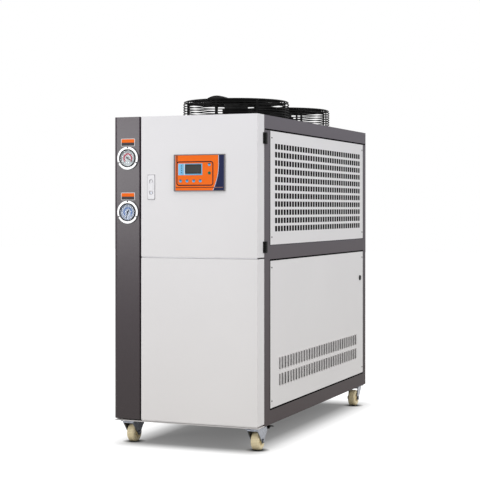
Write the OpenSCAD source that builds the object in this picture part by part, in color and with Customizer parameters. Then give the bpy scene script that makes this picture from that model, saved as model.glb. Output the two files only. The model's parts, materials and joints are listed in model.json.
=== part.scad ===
// Air cooled water chiller: a sheet metal cabinet on casters with two roof fans,
// a hinged front door with a controller, perforated upper sides and louvred lower sides.
// The origin is on the floor under the middle of the cabinet.
// X runs along the front to the right, Y runs from the front to the rear, Z is up.

/* [Cabinet] */
// Width of the cabinet across its front
cabinet_w = 560; // [540:1:640]
// Depth of the cabinet from the front trays to the rear
cabinet_d = 1305; // [1280:1:1400]
// Height of the cabinet from the base to the roof
cabinet_h = 1100; // [1060:1:1200]
// Thickness of the panel sheet
sheet_t = 1.5; // [1:0.1:2]
// Thickness of the frame sheet
frame_t = 2; // [1.5:0.1:3]
// Depth of the folded rim of a side or rear panel
panel_rim = 18; // [14:1:24]
// Gap around a fixed panel
panel_gap = 3; // [2:0.5:4]

/* [Frame] */
// Height of the base tray
base_h = 51; // [45:1:70]
// Height of the roof skirt
skirt_h = 48; // [40:1:60]
// Height of the rail between the upper and lower panels
mid_rail_h = 49; // [40:1:60]
// Height of that rail's underside above the base
mid_rail_z = 588; // [560:1:620]
// Side face of a front post
front_post_w = 54; // [46:1:64]
// Side and rear faces of a rear post
rear_post_w = 38; // [34:1:50]
// Lip of a post behind the panel beside it
post_lip_w = 18; // [14:1:24]

/* [Front] */
// Depth of the front trays
tray_d = 64.5; // [55:0.5:75]
// Seam between the front trays and the frame
tray_seam = 3; // [2:0.5:5]
// Gap around the door
door_gap = 5; // [5:0.5:8]
// Width of the dark pillar beside the door
pillar_w = 104.5; // [98:0.5:115]
// Radius of the pillar's outer edge
pillar_r = 13; // [8:1:20]
// Bend radius of the other front tray edges
tray_r = 2.5; // [2:0.5:4]
// Height of the front trays' lower edge above the base
tray_lift = 9; // [4:1:14]
// Height of the gap under the door, above the base
door_split_z = 592; // [570:1:610]
// Depth of the control box behind the door
box_d = 82; // [70:1:86]
// Depth of the mounting plate's stand-offs in the control box
standoff_h = 10; // [6:1:16]

/* [Hinges] */
// Height of a hinge
hinge_h = 40; // [32:2:50]
// Width of a hinge leaf on the post
post_leaf_w = 25; // [22:1:34]
// Width of a hinge leaf on the door
door_leaf_w = 14; // [12:1:24]
// Thickness of a hinge leaf
hinge_leaf_t = 3; // [2.5:0.5:4]
// Radius of the hinge barrel
barrel_r = 5; // [4.5:0.5:6]
// Radius of the hinge pin
hinge_pin_r = 2.5; // [2:0.25:3]
// Radial clearance of the turning pins
pin_clear = 0.05; // [0.03:0.01:0.09]
// Height of the lower hinge's middle above the door's lower edge
hinge_low_rise = 36; // [30:1:60]
// Distance of the upper hinge's middle below the roof
hinge_high_drop = 83; // [70:1:120]

/* [Side openings] */
// Slots along a perforated panel
slot_cols = 35; // [20:1:35]
// Slots up a perforated panel
slot_rows = 11; // [6:1:11]
// Width of a slot
slot_w = 22; // [12:0.5:23]
// Height of a slot
slot_h = 20; // [12:0.5:22]
// Spacing of the slots along the panel
slot_pitch_y = 30; // [28:0.5:31]
// Spacing of the slots up the panel
slot_pitch_z = 29.6; // [27:0.2:31]
// Louvres along one row
louvre_count = 32; // [16:1:34]
// Spacing of the louvres
louvre_pitch = 30; // [26:0.5:31]
// Height of a louvre
louvre_h = 45; // [30:1:50]
// Stand-out of a louvre's open edge
louvre_out = 4.5; // [4:0.5:9]
// Width of a louvre across its fold
louvre_w = 18; // [14:0.5:20]
// Height of the middle of the louvre rows above the base
louvre_z = 178; // [150:1:200]
// Flat strip between the two louvre rows
louvre_row_gap = 14; // [10:1:24]

/* [Fans] */
// Distance from the front face to the front fan's shaft
fan_front_v = 490; // [460:1:500]
// Distance between the two fan shafts
fan_spacing = 500; // [460:1:520]
// Inner radius of the fan throat
throat_r = 182; // [176:1:188]
// Depth of the throat under the roof
throat_d = 70; // [62:1:90]
// Tip gap of the fan blades
tip_gap = 6; // [5:0.5:9]
// Number of fan blades
blade_count = 5; // [3:1:6]
// Pitch of the blades from the horizontal
blade_pitch = 21; // [16:1:25]
// Thickness of a blade
blade_t = 2.5; // [2:0.5:4]
// Radius of the rotor hub
hub_r = 54; // [46:1:60]
// Radius of the fan shaft
shaft_r = 8; // [6:0.5:10]
// Outer radius of the guard
guard_r = 206; // [202:1:214]
// Height of the guard above the roof
guard_h = 84; // [70:1:95]
// Section of the guard rings
wire = 3.2; // [2.6:0.2:4]
// Number of ribs of a guard
rib_count = 8; // [6:1:10]
// Width of a guard rib
rib_w = 8; // [6:1:12]
// Bend radius of a guard rib
rib_bend = 8; // [6:1:18]
// Spacing of the rings on the guard's top
top_ring_pitch = 9; // [8:0.5:16]
// Spacing of the rings on the guard's side
side_ring_pitch = 9.5; // [8:0.5:14]
// Width of the domed cover on a guard's front edge
cover_w = 74; // [50:1:80]
// Depth of that cover along its rib
cover_d = 40; // [30:1:50]
// Height of that cover
cover_h = 10; // [6:0.5:12]

/* [Gauges] */
// Radius of a gauge flange
gauge_r = 42; // [38:0.5:44]
// Radius of a gauge dial
dial_r = 29; // [26:0.5:30]
// Outer radius of the raised bezel round a dial
bezel_r = 32.5; // [31.5:0.5:35]
// Stand-out of a gauge bezel
gauge_out = 10; // [9:0.5:12]
// Distance of the upper gauge's middle below the roof
gauge_high_drop = 149; // [120:1:180]
// Distance of the lower gauge's middle below the roof
gauge_low_drop = 344; // [310:1:380]
// Distance of the gauges from the pillar's outer edge
gauge_inset = 57.5; // [52:0.5:62]

/* [Door fittings] */
// Width of the controller
controller_w = 197; // [180:1:210]
// Height of the controller
controller_h = 131; // [120:1:140]
// Distance of the controller's middle from the cabinet's right edge
controller_u = 220; // [200:1:240]
// Distance of the controller's middle below the roof
controller_drop = 204.5; // [170:0.5:240]
// Stand-out of the controller bezel
bezel_out = 5; // [3:0.5:8]
// Depth of the controller body behind the door skin
controller_d = 34; // [24:1:44]
// Width of the flush latch
latch_w = 26; // [22:1:30]
// Height of the flush latch
latch_h = 86; // [76:1:96]
// Distance of the latch's middle from the door's left edge
latch_in = 41.5; // [34:0.5:50]
// Distance of the latch's middle below the roof
latch_drop = 254; // [220:1:290]
// Radius of a round panel lock
lock_r = 10.5; // [8:0.5:12]
// Distance of a panel lock from the rear post
lock_in = 51.5; // [40:0.5:80]
// Distance of a panel lock below the mid rail
lock_drop = 118; // [90:1:150]

/* [Casters] */
// Height of a caster from the floor to the base
caster_h = 88; // [82:1:110]
// Radius of a caster wheel
wheel_r = 34; // [30:0.5:35]
// Width of a caster wheel
wheel_w = 32; // [26:1:34]
// Trail of a wheel from its swivel pin, towards the cabinet's middle
caster_trail = 26; // [20:1:28]
// Distance of a swivel pin from the cabinet's side
caster_inset_x = 36; // [34:1:60]
// Distance of the front swivel pins behind the front face
caster_front_in = 67.5; // [60:0.5:90]
// Distance of the rear swivel pins from the rear face
caster_rear_in = 38; // [38:1:80]
// Thickness of the fork sheet
fork_t = 3; // [2.5:0.5:4]
// Side gap between a wheel and its fork
wheel_gap = 2; // [1.5:0.5:3]
// Radius of an axle
axle_r = 4; // [3:0.5:5]
// Radius of a swivel pin
kingpin_r = 5; // [4:0.5:6]
// Width of a brake pedal
pedal_w = 38; // [34:1:46]
// Reach of a brake pedal from the swivel pin
pedal_reach = 136; // [128:1:144]

/* [Rear] */
// Bore radius of the water connections
port_bore_r = 15.15; // [10:0.05:20]
// Bore radius of the drain connection
drain_bore_r = 9.3; // [7:0.1:12]
// Bore radius of the cable gland
gland_bore_r = 8; // [5:0.5:10]
// Stand-out of the connections from the rear panel
port_out = 22; // [16:1:24]
// Distance of the water connections left of the middle
port_in_x = 120; // [90:1:150]
// Distance of the water inlet and the gland below the mid rail
port_drop = 148; // [120:1:180]
// Distance between the water inlet and the outlet
port_spacing = 120; // [90:1:150]
// Height of the drain above the base tray
drain_rise = 69; // [50:1:90]
// Distance of the cable gland right of the middle
gland_in_x = 140; // [100:1:170]

/* [Hidden] */
$fn = 64;
eps = 0.5;
cut = 1;
fit = 0.5;
side_x = cabinet_w / 2;
front_y = -cabinet_d / 2;
rear_y = cabinet_d / 2;
frame_y = front_y + tray_d + tray_seam;
base_z = caster_h;
roof_z = base_z + cabinet_h;
skirt_z = roof_z - skirt_h;
rail_z = base_z + mid_rail_z;
rail_top = rail_z + mid_rail_h;
deck_z = base_z + base_h;
post_depth = panel_rim + frame_t;
side_y0 = frame_y + front_post_w;
side_y1 = rear_y - rear_post_w;
rear_x = side_x - rear_post_w;
tray_z = base_z + tray_lift;
door_x0 = -side_x + pillar_w + door_gap;
door_z0 = base_z + door_split_z + door_gap;
hinge_off = 0.3;
hinge_x = side_x + barrel_r + hinge_off;
hinge_y = frame_y - tray_seam / 2;
hinge_zs = [door_z0 + hinge_low_rise, roof_z - hinge_high_drop];
knuckle_gap = 0.4;
knuckle_h = (hinge_h - 2 * knuckle_gap) / 3;
gauge_x = -side_x + gauge_inset;
gauge_zs = [roof_z - gauge_low_drop, roof_z - gauge_high_drop];
gauge_flange_t = 5;
gauge_depth = 30;
gauge_wall = 2;
lens_in = dial_r + 0.6;
dial_z = gauge_out - 9;
dial_t = 1;
notch_r = 2.6;
notch_angles = [90, 205, 335];
controller_x = side_x - controller_u;
controller_z = roof_z - controller_drop;
housing_in = 8.5;
housing_size = [controller_w - 2 * housing_in, controller_h - 2 * housing_in];
face_rim = 3;
face_t = 1;
face_out = bezel_out - 0.6;
screen_size = [93.5, 41];
screen_at = [-34, 12.5];
latch_x = door_x0 + latch_in;
latch_z = roof_z - latch_drop;
latch_body = [latch_w - 7, latch_h - 9];
pad_w = 16;
pad_h = 32;
pad_in = 10;
pad_end = 20;
low_pad_in = 50;
side_pad_end = 80;
port_x = -port_in_x;
gland_x = gland_in_x;
inlet_z = rail_z - port_drop;
outlet_z = inlet_z - port_spacing;
drain_z = deck_z + drain_rise;
port_wall = 4.5;
port_in = 18;
fan_ys = [front_y + fan_front_v, front_y + fan_front_v + fan_spacing];
flange_t = 2;
throat_t = 1.5;
motor_r = 46;
motor_h = 20;
motor_gap = 2;
weld = 0.4;
ring_seat = 1;
motor_plate_t = wire + 2;
motor_plate_z = guard_h - 2 * wire - 2 * weld;
hub_top = motor_plate_z - motor_h - motor_gap;
hub_z = -40;
caster_xs = [-side_x + caster_inset_x, side_x - caster_inset_x];
caster_ys = [front_y + caster_front_in, rear_y - caster_rear_in];
sill_in = 7.5;
fork_in = wheel_w / 2 + wheel_gap;
plate_t = 3;
race_h = 5;
crown_h = 6;
swivel_gap = 0.3;
crown_z = caster_h - plate_t - race_h - crown_h - swivel_gap;
crown_r = 24;
pedal_pivot_y = 60;
pedal_pivot_z = crown_z - 7.7;
pedal_pin_r = 3;
coil_t = 36;
coil_x = side_x - post_depth - 12;
coil_z0 = rail_top + sheet_t;
coil_z1 = skirt_z - 4;
coil_fold = 10;
coil_plate = 2;
coil_y0 = frame_y + box_d + panel_gap + coil_plate;
coil_end = 30;
coil_y1 = side_y1 - coil_end;
box_x0 = door_x0 + 2;
box_x1 = side_x - front_post_w;

white = [0.86, 0.86, 0.86];
grey = [0.27, 0.26, 0.27];
black = [0.05, 0.05, 0.05];
zinc = [0.62, 0.63, 0.65];

// A box between two corners
module block(low, high) {
    translate(low) cube(high - low);
}

// A drawing in Y and Z, thickened towards +X from x
module side_sheet(x, t) {
    translate([x, 0, 0]) rotate([90, 0, 90]) linear_extrude(t) children();
}

// A drawing in X and Z, thickened towards +Y from y
module front_sheet(y, t) {
    translate([0, y + t, 0]) rotate([90, 0, 0]) linear_extrude(t) children();
}

// A drawing in X and Y, thickened upwards from z
module level_sheet(z, t) {
    translate([0, 0, z]) linear_extrude(t) children();
}

// A rectangle between two points
module rect(low, high) {
    translate(low) square(high - low);
}

// The child and its mirror image on the left
module both_sides() {
    children();
    mirror([1, 0, 0]) children();
}

// A rectangle whose two corners on the front edge are round
module front_rounded(x0, x1, y0, y1, r_left, r_right) {
    difference() {
        rect([x0, y0], [x1, y1]);
        corner_waste(x0, y0, r_left, 1);
        corner_waste(x1, y0, r_right, -1);
    }
}

// What a round corner takes off a square one
module corner_waste(x, y, r, side) {
    translate([x, y]) scale([side, 1, 1]) difference() {
        translate([-1, -1]) square(r + 1);
        translate([r, r]) circle(r);
    }
}

// A rectangle with four round corners, drawn about its middle
module round_rect(w, h, r) {
    difference() {
        square([w, h], center = true);
        for (sx = [-1, 1], sy = [-1, 1]) {
            translate([sx * w / 2, sy * h / 2]) difference() {
                square(2 * r, center = true);
                translate([-sx * r, -sy * r]) circle(r);
                translate([-sx * r, -sy * r]) rect_toward(sx, sy, r);
            }
        }
    }
}

// The two quarters of a corner square that stay
module rect_toward(sx, sy, r) {
    rect([min(0, -sx * 2 * r), -r], [max(0, -sx * 2 * r), r]);
    rect([-r, min(0, -sy * 2 * r)], [r, max(0, -sy * 2 * r)]);
}

// Base tray that the casters are fixed under, with a sill under the front trays
module base_frame() {
    color(grey) {
        difference() {
            block([-side_x, frame_y, base_z], [side_x, rear_y, deck_z]);
            block([-side_x + frame_t, frame_y + frame_t, base_z + plate_t],
                  [side_x - frame_t, rear_y - frame_t, deck_z + 1]);
        }
        block([-side_x, front_y + sill_in, base_z], [side_x, frame_y + eps, base_z + plate_t]);
    }
}

// Section of the right front post: front face, side face, step and lip
module front_post_section() {
    rect([side_x - front_post_w, frame_y], [side_x, frame_y + frame_t]);
    rect([side_x - frame_t, frame_y], [side_x, side_y0]);
    rect([side_x - post_depth, side_y0 - frame_t], [side_x, side_y0]);
    rect([side_x - post_depth, side_y0 - frame_t], [side_x - panel_rim, side_y0 + post_lip_w]);
}

// Section of the right rear post: a lip, the two faces and a lip
module rear_post_section() {
    rect([side_x - post_depth, side_y1 - post_lip_w], [side_x - panel_rim, side_y1 + frame_t]);
    rect([side_x - post_depth, side_y1], [side_x, side_y1 + frame_t]);
    rect([side_x - frame_t, side_y1], [side_x, rear_y]);
    rect([rear_x, rear_y - frame_t], [side_x, rear_y]);
    rect([rear_x, rear_y - post_depth], [rear_x + frame_t, rear_y]);
    rect([rear_x - post_lip_w, rear_y - post_depth], [rear_x + frame_t, rear_y - panel_rim]);
}

module front_posts() {
    color(grey) both_sides() level_sheet(deck_z, skirt_z - deck_z) front_post_section();
}

module rear_posts() {
    color(grey) both_sides() level_sheet(deck_z, skirt_z - deck_z) rear_post_section();
}

// Section of a rail: a channel that opens inwards, drawn in depth and height
module rail_section() {
    difference() {
        rect([0, rail_z], [panel_rim, rail_top]);
        rect([-1, rail_z + frame_t], [panel_rim - frame_t, rail_top - frame_t]);
    }
}

// The rails between the upper and lower panels, and the one under the door
module mid_rails() {
    color(grey) {
        both_sides() translate([side_x - panel_rim, side_y1, 0]) rotate([90, 0, 0])
            linear_extrude(side_y1 - side_y0) rail_section();
        translate([-rear_x, rear_y - panel_rim, 0]) rotate([90, 0, 90])
            linear_extrude(2 * rear_x) rail_section();
        translate([box_x1, frame_y + panel_rim, 0]) rotate([90, 0, -90])
            linear_extrude(2 * box_x1) rail_section();
    }
}

// Roof sheet with its skirt and the two fan openings
module roof_cover() {
    hole_r = throat_r + throat_t + 1;
    color(grey) difference() {
        block([-side_x, frame_y, skirt_z], [side_x, rear_y, roof_z]);
        block([-side_x + frame_t, frame_y + frame_t, skirt_z - 1],
              [side_x - frame_t, rear_y - frame_t, roof_z - frame_t]);
        for (y = fan_ys)
            translate([0, y, roof_z - frame_t - cut]) cylinder(r = hole_r, h = frame_t + 2 * cut);
    }
}

// Sheet between the condenser space and the machine space, on top of the side rails
module divider_plate() {
    rest = 8;
    x1 = side_x - panel_rim + rest;
    x2 = side_x - post_depth - 2;
    y0 = frame_y + box_d + panel_gap;
    y1 = side_y1 - post_lip_w - 1;
    y2 = rear_y - post_depth - 1;
    color(zinc) level_sheet(rail_top, sheet_t) {
        rect([-x1, y0], [x1, y1]);
        rect([-x2, y0], [x2, y2]);
    }
}

// A front tray: a folded skin that is open to the rear, with lips that reach the frame
module front_tray(x0, x1, z0, z1, r_left, r_right) {
    lip = panel_rim;
    difference() {
        level_sheet(z0, z1 - z0) front_rounded(x0, x1, front_y, front_y + tray_d, r_left, r_right);
        level_sheet(z0 + sheet_t, z1 - z0 - 2 * sheet_t)
            front_rounded(x0 + sheet_t, x1 - sheet_t, front_y + sheet_t, front_y + tray_d - sheet_t,
                          max(r_left - sheet_t, eps), max(r_right - sheet_t, eps));
        block([x0 + lip, front_y + tray_d / 2, z0 + lip], [x1 - lip, front_y + tray_d + cut, z1 - lip]);
        children();
    }
}

// A pad that carries a front tray on the frame behind it
module tray_pad(x, z) {
    block([x - pad_w / 2, front_y + tray_d, z - pad_h / 2], [x + pad_w / 2, frame_y, z + pad_h / 2]);
}

// Dark pillar with the two gauge holes
module front_pillar() {
    x1 = -side_x + pillar_w;
    color(grey) {
        front_tray(-side_x, x1, tray_z, roof_z, pillar_r, tray_r)
            for (z = gauge_zs) translate([gauge_x, front_y - 1, z]) rotate([-90, 0, 0])
                cylinder(r = lens_in + gauge_wall + fit, h = tray_d / 2);
        for (z = [tray_z + pad_end, rail_z + pad_end, roof_z - pad_end]) tray_pad(-side_x + pad_in, z);
    }
}

// Lower front panel
module front_lower_panel() {
    z1 = base_z + door_split_z;
    color(white) {
        front_tray(door_x0, side_x, tray_z, z1, tray_r, tray_r);
        for (x = [door_x0 + low_pad_in, side_x - low_pad_in]) tray_pad(x, tray_z + pad_h / 2);
        for (z = [deck_z + side_pad_end, z1 - side_pad_end]) tray_pad(side_x - pad_in, z);
    }
}

// The door: a tray with openings for the controller and the latch
module front_door() {
    color(white) front_tray(door_x0, side_x, door_z0, roof_z, tray_r, tray_r) {
        cut_d = tray_d / 2;
        play = [2 * fit, 2 * fit];
        front_sheet(front_y - cut, cut_d) translate([controller_x, controller_z])
            square(housing_size + play, center = true);
        front_sheet(front_y - cut, cut_d) translate([latch_x, latch_z])
            square(latch_body + play, center = true);
    }
}

// Box behind the door, open to the front
module control_box() {
    color(white) difference() {
        block([box_x0, frame_y, rail_top], [box_x1, frame_y + box_d, skirt_z]);
        block([box_x0 + sheet_t, frame_y - 1, rail_top + sheet_t],
              [box_x1 - sheet_t, frame_y + box_d - sheet_t, skirt_z - sheet_t]);
    }
}

// Plate in the control box, on four stand-offs
module mounting_plate() {
    margin = 24;
    plate = 2;
    stand_in = 16;
    stand_r = 5;
    y1 = frame_y + box_d - sheet_t;
    x0 = box_x0 + margin;
    x1 = box_x1 - margin;
    z0 = rail_top + margin;
    z1 = skirt_z - margin;
    color(zinc) {
        block([x0, y1 - standoff_h - plate, z0], [x1, y1 - standoff_h, z1]);
        for (x = [x0 + stand_in, x1 - stand_in], z = [z0 + stand_in, z1 - stand_in])
            translate([x, y1, z]) rotate([90, 0, 0]) cylinder(r = stand_r, h = standoff_h + eps);
    }
}

// A panel on the right side: a skin drawn by the children with a folded rim
module side_panel(z0, z1) {
    low = [side_y0 + panel_gap, z0];
    high = [side_y1 - panel_gap, z1];
    fold = [sheet_t, sheet_t];
    side_sheet(side_x - sheet_t, sheet_t) difference() {
        rect(low, high);
        children();
    }
    side_sheet(side_x - panel_rim, panel_rim) difference() {
        rect(low, high);
        rect(low + fold, high - fold);
    }
}

// The slots of a perforated panel
module slot_field() {
    mid_y = (side_y0 + side_y1) / 2;
    mid_z = (rail_top + skirt_z) / 2;
    for (i = [0 : slot_cols - 1], j = [0 : slot_rows - 1])
        translate([mid_y + (i - (slot_cols - 1) / 2) * slot_pitch_y,
                   mid_z + (j - (slot_rows - 1) / 2) * slot_pitch_z])
            square([slot_w, slot_h], center = true);
}

module grille_panel() {
    side_panel(rail_top + panel_gap, skirt_z - panel_gap) slot_field();
}

module right_grille_panel() {
    color(white) grille_panel();
}

module left_grille_panel() {
    color(white) mirror([1, 0, 0]) grille_panel();
}

// Plan of one row of louvres, each a wedge that opens to the front
module louvre_plan(inset) {
    mid_y = (side_y0 + side_y1) / 2;
    out = louvre_out - inset;
    fold_in = 2.4;
    fold_y = louvre_w - fold_in * inset;
    back = inset > 0 ? -panel_rim / 2 : -sheet_t / 2;
    for (i = [0 : louvre_count - 1])
        translate([side_x, mid_y + (i - (louvre_count - 1) / 2) * louvre_pitch - louvre_w / 2])
            polygon([[back, -inset], [out, -inset], [0, fold_y], [back, fold_y]]);
}

module louvre_panel() {
    z_low = deck_z + panel_gap;
    rows = [-louvre_h - louvre_row_gap / 2, louvre_row_gap / 2];
    difference() {
        union() {
            side_panel(z_low, rail_z - panel_gap);
            for (r = rows) level_sheet(base_z + louvre_z + r, louvre_h) louvre_plan(0);
        }
        for (r = rows) level_sheet(base_z + louvre_z + r + sheet_t, louvre_h - 2 * sheet_t)
            louvre_plan(sheet_t);
    }
}

module right_louvre_panel() {
    color(white) louvre_panel();
}

module left_louvre_panel() {
    color(white) mirror([1, 0, 0]) louvre_panel();
}

// A panel on the rear, with round holes where the connections pass
module rear_panel(z0, z1) {
    x1 = rear_x - panel_gap;
    difference() {
        block([-x1, rear_y - panel_rim, z0], [x1, rear_y, z1]);
        block([-x1 + sheet_t, rear_y - panel_rim - 1, z0 + sheet_t],
              [x1 - sheet_t, rear_y - sheet_t, z1 - sheet_t]);
        children();
    }
}

module rear_upper_panel() {
    color(white) rear_panel(rail_top + panel_gap, skirt_z - panel_gap);
}

module rear_lower_panel() {
    color(white) rear_panel(deck_z + panel_gap, rail_z - panel_gap) {
        port_hole(port_x, inlet_z, port_bore_r);
        port_hole(port_x, outlet_z, port_bore_r);
        port_hole(port_x, drain_z, drain_bore_r);
        port_hole(gland_x, inlet_z, gland_bore_r);
    }
}

module port_hole(x, z, bore_r) {
    translate([x, rear_y + cut, z]) rotate([90, 0, 0])
        cylinder(r = bore_r + port_wall + fit, h = sheet_t + 2 * cut);
}

// A connection through the rear panel: a sleeve with a hexagon collar
module port(x, z, bore_r) {
    sleeve_r = bore_r + port_wall;
    collar_w = 4;
    collar_h = port_out * 0.45;
    translate([x, rear_y, z]) rotate([-90, 0, 0]) difference() {
        union() {
            translate([0, 0, -port_in]) cylinder(r = sleeve_r, h = port_in + port_out);
            cylinder(r = (sleeve_r + collar_w) / cos(30), h = collar_h, $fn = 6);
        }
        translate([0, 0, -port_in - cut]) cylinder(r = bore_r, h = port_in + port_out + 2 * cut);
    }
}

module water_inlet() {
    color("darkkhaki") port(port_x, inlet_z, port_bore_r);
}

module water_outlet() {
    color("darkkhaki") port(port_x, outlet_z, port_bore_r);
}

module drain_port() {
    color("darkkhaki") port(port_x, drain_z, drain_bore_r);
}

module cable_gland() {
    color(black) port(gland_x, inlet_z, gland_bore_r);
}

// Finned condenser block behind a perforated panel, with the casing that seals it to the frame
module coil() {
    x0 = coil_x - coil_t - coil_fold;
    x1 = side_x - post_depth - 1;
    x2 = side_x - panel_rim - 1;
    block([coil_x - coil_t, coil_y0, coil_z0], [coil_x, coil_y1, coil_z1]);
    block([x0, coil_y0 - coil_plate, coil_z0], [x1, coil_y0, coil_z1]);
    block([x0, coil_y1, coil_z0], [x1, coil_y1 + coil_plate, coil_z1]);
    block([x0, coil_y0, coil_z1 - coil_plate], [x2, coil_y1, coil_z1]);
    block([x1 - coil_plate, side_y0, coil_z0], [x1, coil_y0, coil_z1]);
    block([x1 - coil_plate, coil_y1, coil_z0], [x1, side_y1 - 1, coil_z1]);
}

module right_coil() {
    color(black) coil();
}

module left_coil() {
    color(black) mirror([1, 0, 0]) coil();
}

// Round locks on the lower side panels
module panel_locks() {
    lock_h = 4;
    dish = 1.5;
    rim = 3;
    color(black) both_sides() translate([side_x, side_y1 - lock_in, rail_z - lock_drop]) rotate([0, 90, 0])
        difference() {
            cylinder(r = lock_r, h = lock_h);
            translate([0, 0, lock_h - dish]) cylinder(r = lock_r - rim, h = dish + cut);
        }
}

// One gauge about its axis, with Z pointing out of the pillar
module gauge_place(z) {
    translate([gauge_x, front_y, z]) rotate([90, 0, 0]) children();
}

// Case of a gauge: a flange with three screw notches in front of a cup
module gauge_case() {
    seat_r = gauge_r - 1.5 * notch_r;
    difference() {
        union() {
            cylinder(r = gauge_r, h = gauge_flange_t);
            translate([0, 0, -gauge_depth]) cylinder(r = lens_in + gauge_wall, h = gauge_depth + eps);
        }
        translate([0, 0, gauge_wall - gauge_depth]) cylinder(r = lens_in, h = gauge_depth + gauge_flange_t);
        for (a = notch_angles) rotate([0, 0, a]) translate([0, 0, -cut])
            linear_extrude(gauge_flange_t + 2 * cut) {
                translate([seat_r, 0]) circle(notch_r);
                rect([seat_r, -notch_r], [gauge_r + cut, notch_r]);
            }
    }
}

module gauge_cases() {
    color(zinc) for (z = gauge_zs) gauge_place(z) gauge_case();
}

// Raised rim round a dial, rounded off towards the dial and the flange
module gauge_bezels() {
    soft = 1.5;
    color(black) for (z = gauge_zs) gauge_place(z) rotate_extrude()
        polygon([[lens_in, gauge_flange_t], [bezel_r, gauge_flange_t], [bezel_r, gauge_out - soft],
                 [bezel_r - soft, gauge_out], [lens_in + soft / 2, gauge_out],
                 [lens_in, gauge_out - soft / 2]]);
}

// Dial on a boss that stands on the back of the case
module gauge_dials() {
    boss_r = 8;
    floor_z = gauge_wall - gauge_depth;
    color("white") for (z = gauge_zs) gauge_place(z) {
        translate([0, 0, dial_z]) cylinder(r = dial_r, h = dial_t);
        translate([0, 0, floor_z]) cylinder(r = boss_r, h = dial_z + dial_t / 2 - floor_z);
    }
}

// Needle with its hub on the dial
module gauge_needles() {
    hub = [3, 2.5];
    tail = 8;
    tip = dial_r - 5;
    lift = 1;
    needle_t = 0.8;
    tail_w = 1.8;
    tip_w = 0.6;
    turns = [-108, -33];
    color(black) for (i = [0, 1]) gauge_place(gauge_zs[i]) translate([0, 0, dial_z + dial_t])
        rotate([0, 0, turns[i]]) {
            cylinder(r = hub[0], h = hub[1]);
            translate([0, 0, lift]) linear_extrude(needle_t)
                polygon([[-tail, -tail_w], [-tail, tail_w], [tip, tip_w], [tip, -tip_w]]);
        }
}

module gauge_lenses() {
    lens_t = 2;
    lens_z = gauge_out - 4;
    color([0.9, 0.95, 1, 0.35]) for (z = gauge_zs) gauge_place(z)
        translate([0, 0, lens_z]) cylinder(r = lens_in - 0.1, h = lens_t);
}

// One hinge leaf on the side face, to the front or rear of the barrel
module hinge_leaf(z, rearward) {
    inner = tray_seam / 2 + 1;
    y0 = rearward ? hinge_y + inner : hinge_y - door_leaf_w;
    y1 = rearward ? hinge_y + post_leaf_w : hinge_y - inner;
    block([side_x, y0, z - hinge_h / 2], [side_x + hinge_leaf_t, y1, z + hinge_h / 2]);
}

// A barrel piece with the web that joins it to its leaf
module knuckle(z, h, rearward) {
    reach = tray_seam / 2 + 2;
    translate([hinge_x, hinge_y, z]) {
        cylinder(r = barrel_r, h = h);
        translate([-barrel_r, rearward ? 0 : -barrel_r - reach, 0])
            cube([hinge_leaf_t, barrel_r + reach, h]);
    }
}

module barrel_relief(z, h) {
    translate([hinge_x, hinge_y, z]) cylinder(r = barrel_r + knuckle_gap, h = h);
}

// Leaves on the post, each with its pin
module hinge_post_leaves() {
    color(black) for (z = hinge_zs) {
        z0 = z - hinge_h / 2;
        difference() {
            union() {
                hinge_leaf(z, true);
                knuckle(z0, knuckle_h, true);
                knuckle(z0 + 2 * (knuckle_h + knuckle_gap), knuckle_h, true);
            }
            barrel_relief(z0 + knuckle_h, knuckle_h + 2 * knuckle_gap);
        }
        translate([hinge_x, hinge_y, z0]) cylinder(r = hinge_pin_r, h = hinge_h);
    }
}

// Leaves on the door, bored for the pins
module hinge_door_leaves() {
    color(black) for (z = hinge_zs) {
        z0 = z - hinge_h / 2;
        difference() {
            union() {
                hinge_leaf(z, false);
                knuckle(z0 + knuckle_h + knuckle_gap, knuckle_h, false);
            }
            barrel_relief(z0 - eps, knuckle_h + knuckle_gap + eps);
            barrel_relief(z0 + 2 * knuckle_h + knuckle_gap, knuckle_h + knuckle_gap + eps);
            translate([hinge_x, hinge_y, z0 - cut])
                cylinder(r = hinge_pin_r + pin_clear, h = hinge_h + 2 * cut);
        }
    }
}

// A slot with round ends, drawn about its middle
module stadium(w, h) {
    square([w, h - w], center = true);
    for (end = [-1, 1]) translate([0, end * (h - w) / 2]) circle(w / 2);
}

// Flush latch: a plate with a sunk slot, the lever across it and a button in its upper end
module door_latch() {
    plate = 2.5;
    sunk = 4;
    slot = [latch_w - 10, latch_h - 28];
    lever_h = slot[1] - 2 * slot[0];
    button = [4.5, 2.2];
    body_d = 14;
    corner_r = 4;
    floor_z = plate - sunk;
    color([0.8, 0.8, 0.8]) translate([latch_x, front_y, latch_z]) rotate([90, 0, 0]) {
        difference() {
            union() {
                linear_extrude(plate) round_rect(latch_w, latch_h, corner_r);
                translate([0, 0, -body_d]) linear_extrude(body_d + eps) square(latch_body, center = true);
            }
            translate([0, 0, floor_z]) linear_extrude(sunk + cut) stadium(slot[0], slot[1]);
        }
        translate([0, 0, floor_z - eps]) linear_extrude(sunk + 2 * eps)
            square([slot[0] - 1, lever_h], center = true);
        for (end = [-1, 1]) translate([0, end * (slot[1] - slot[0]) / 2, floor_z - eps])
            cylinder(r = button[0], h = button[1] + eps);
    }
}

// The controller stands in the door about this place, with Z pointing out of the door
module controller_place() {
    translate([controller_x, front_y, controller_z]) rotate([90, 0, 0]) children();
}

module controller_housing() {
    recess = [controller_w - 2 * face_rim, controller_h - 2 * face_rim];
    color("dimgray") controller_place() difference() {
        union() {
            linear_extrude(bezel_out) round_rect(controller_w, controller_h, 2);
            translate([0, 0, -controller_d]) linear_extrude(controller_d + eps)
                square(housing_size, center = true);
        }
        translate([0, 0, face_out - face_t]) linear_extrude(face_t + 2 * cut) square(recess, center = true);
    }
}

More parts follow.
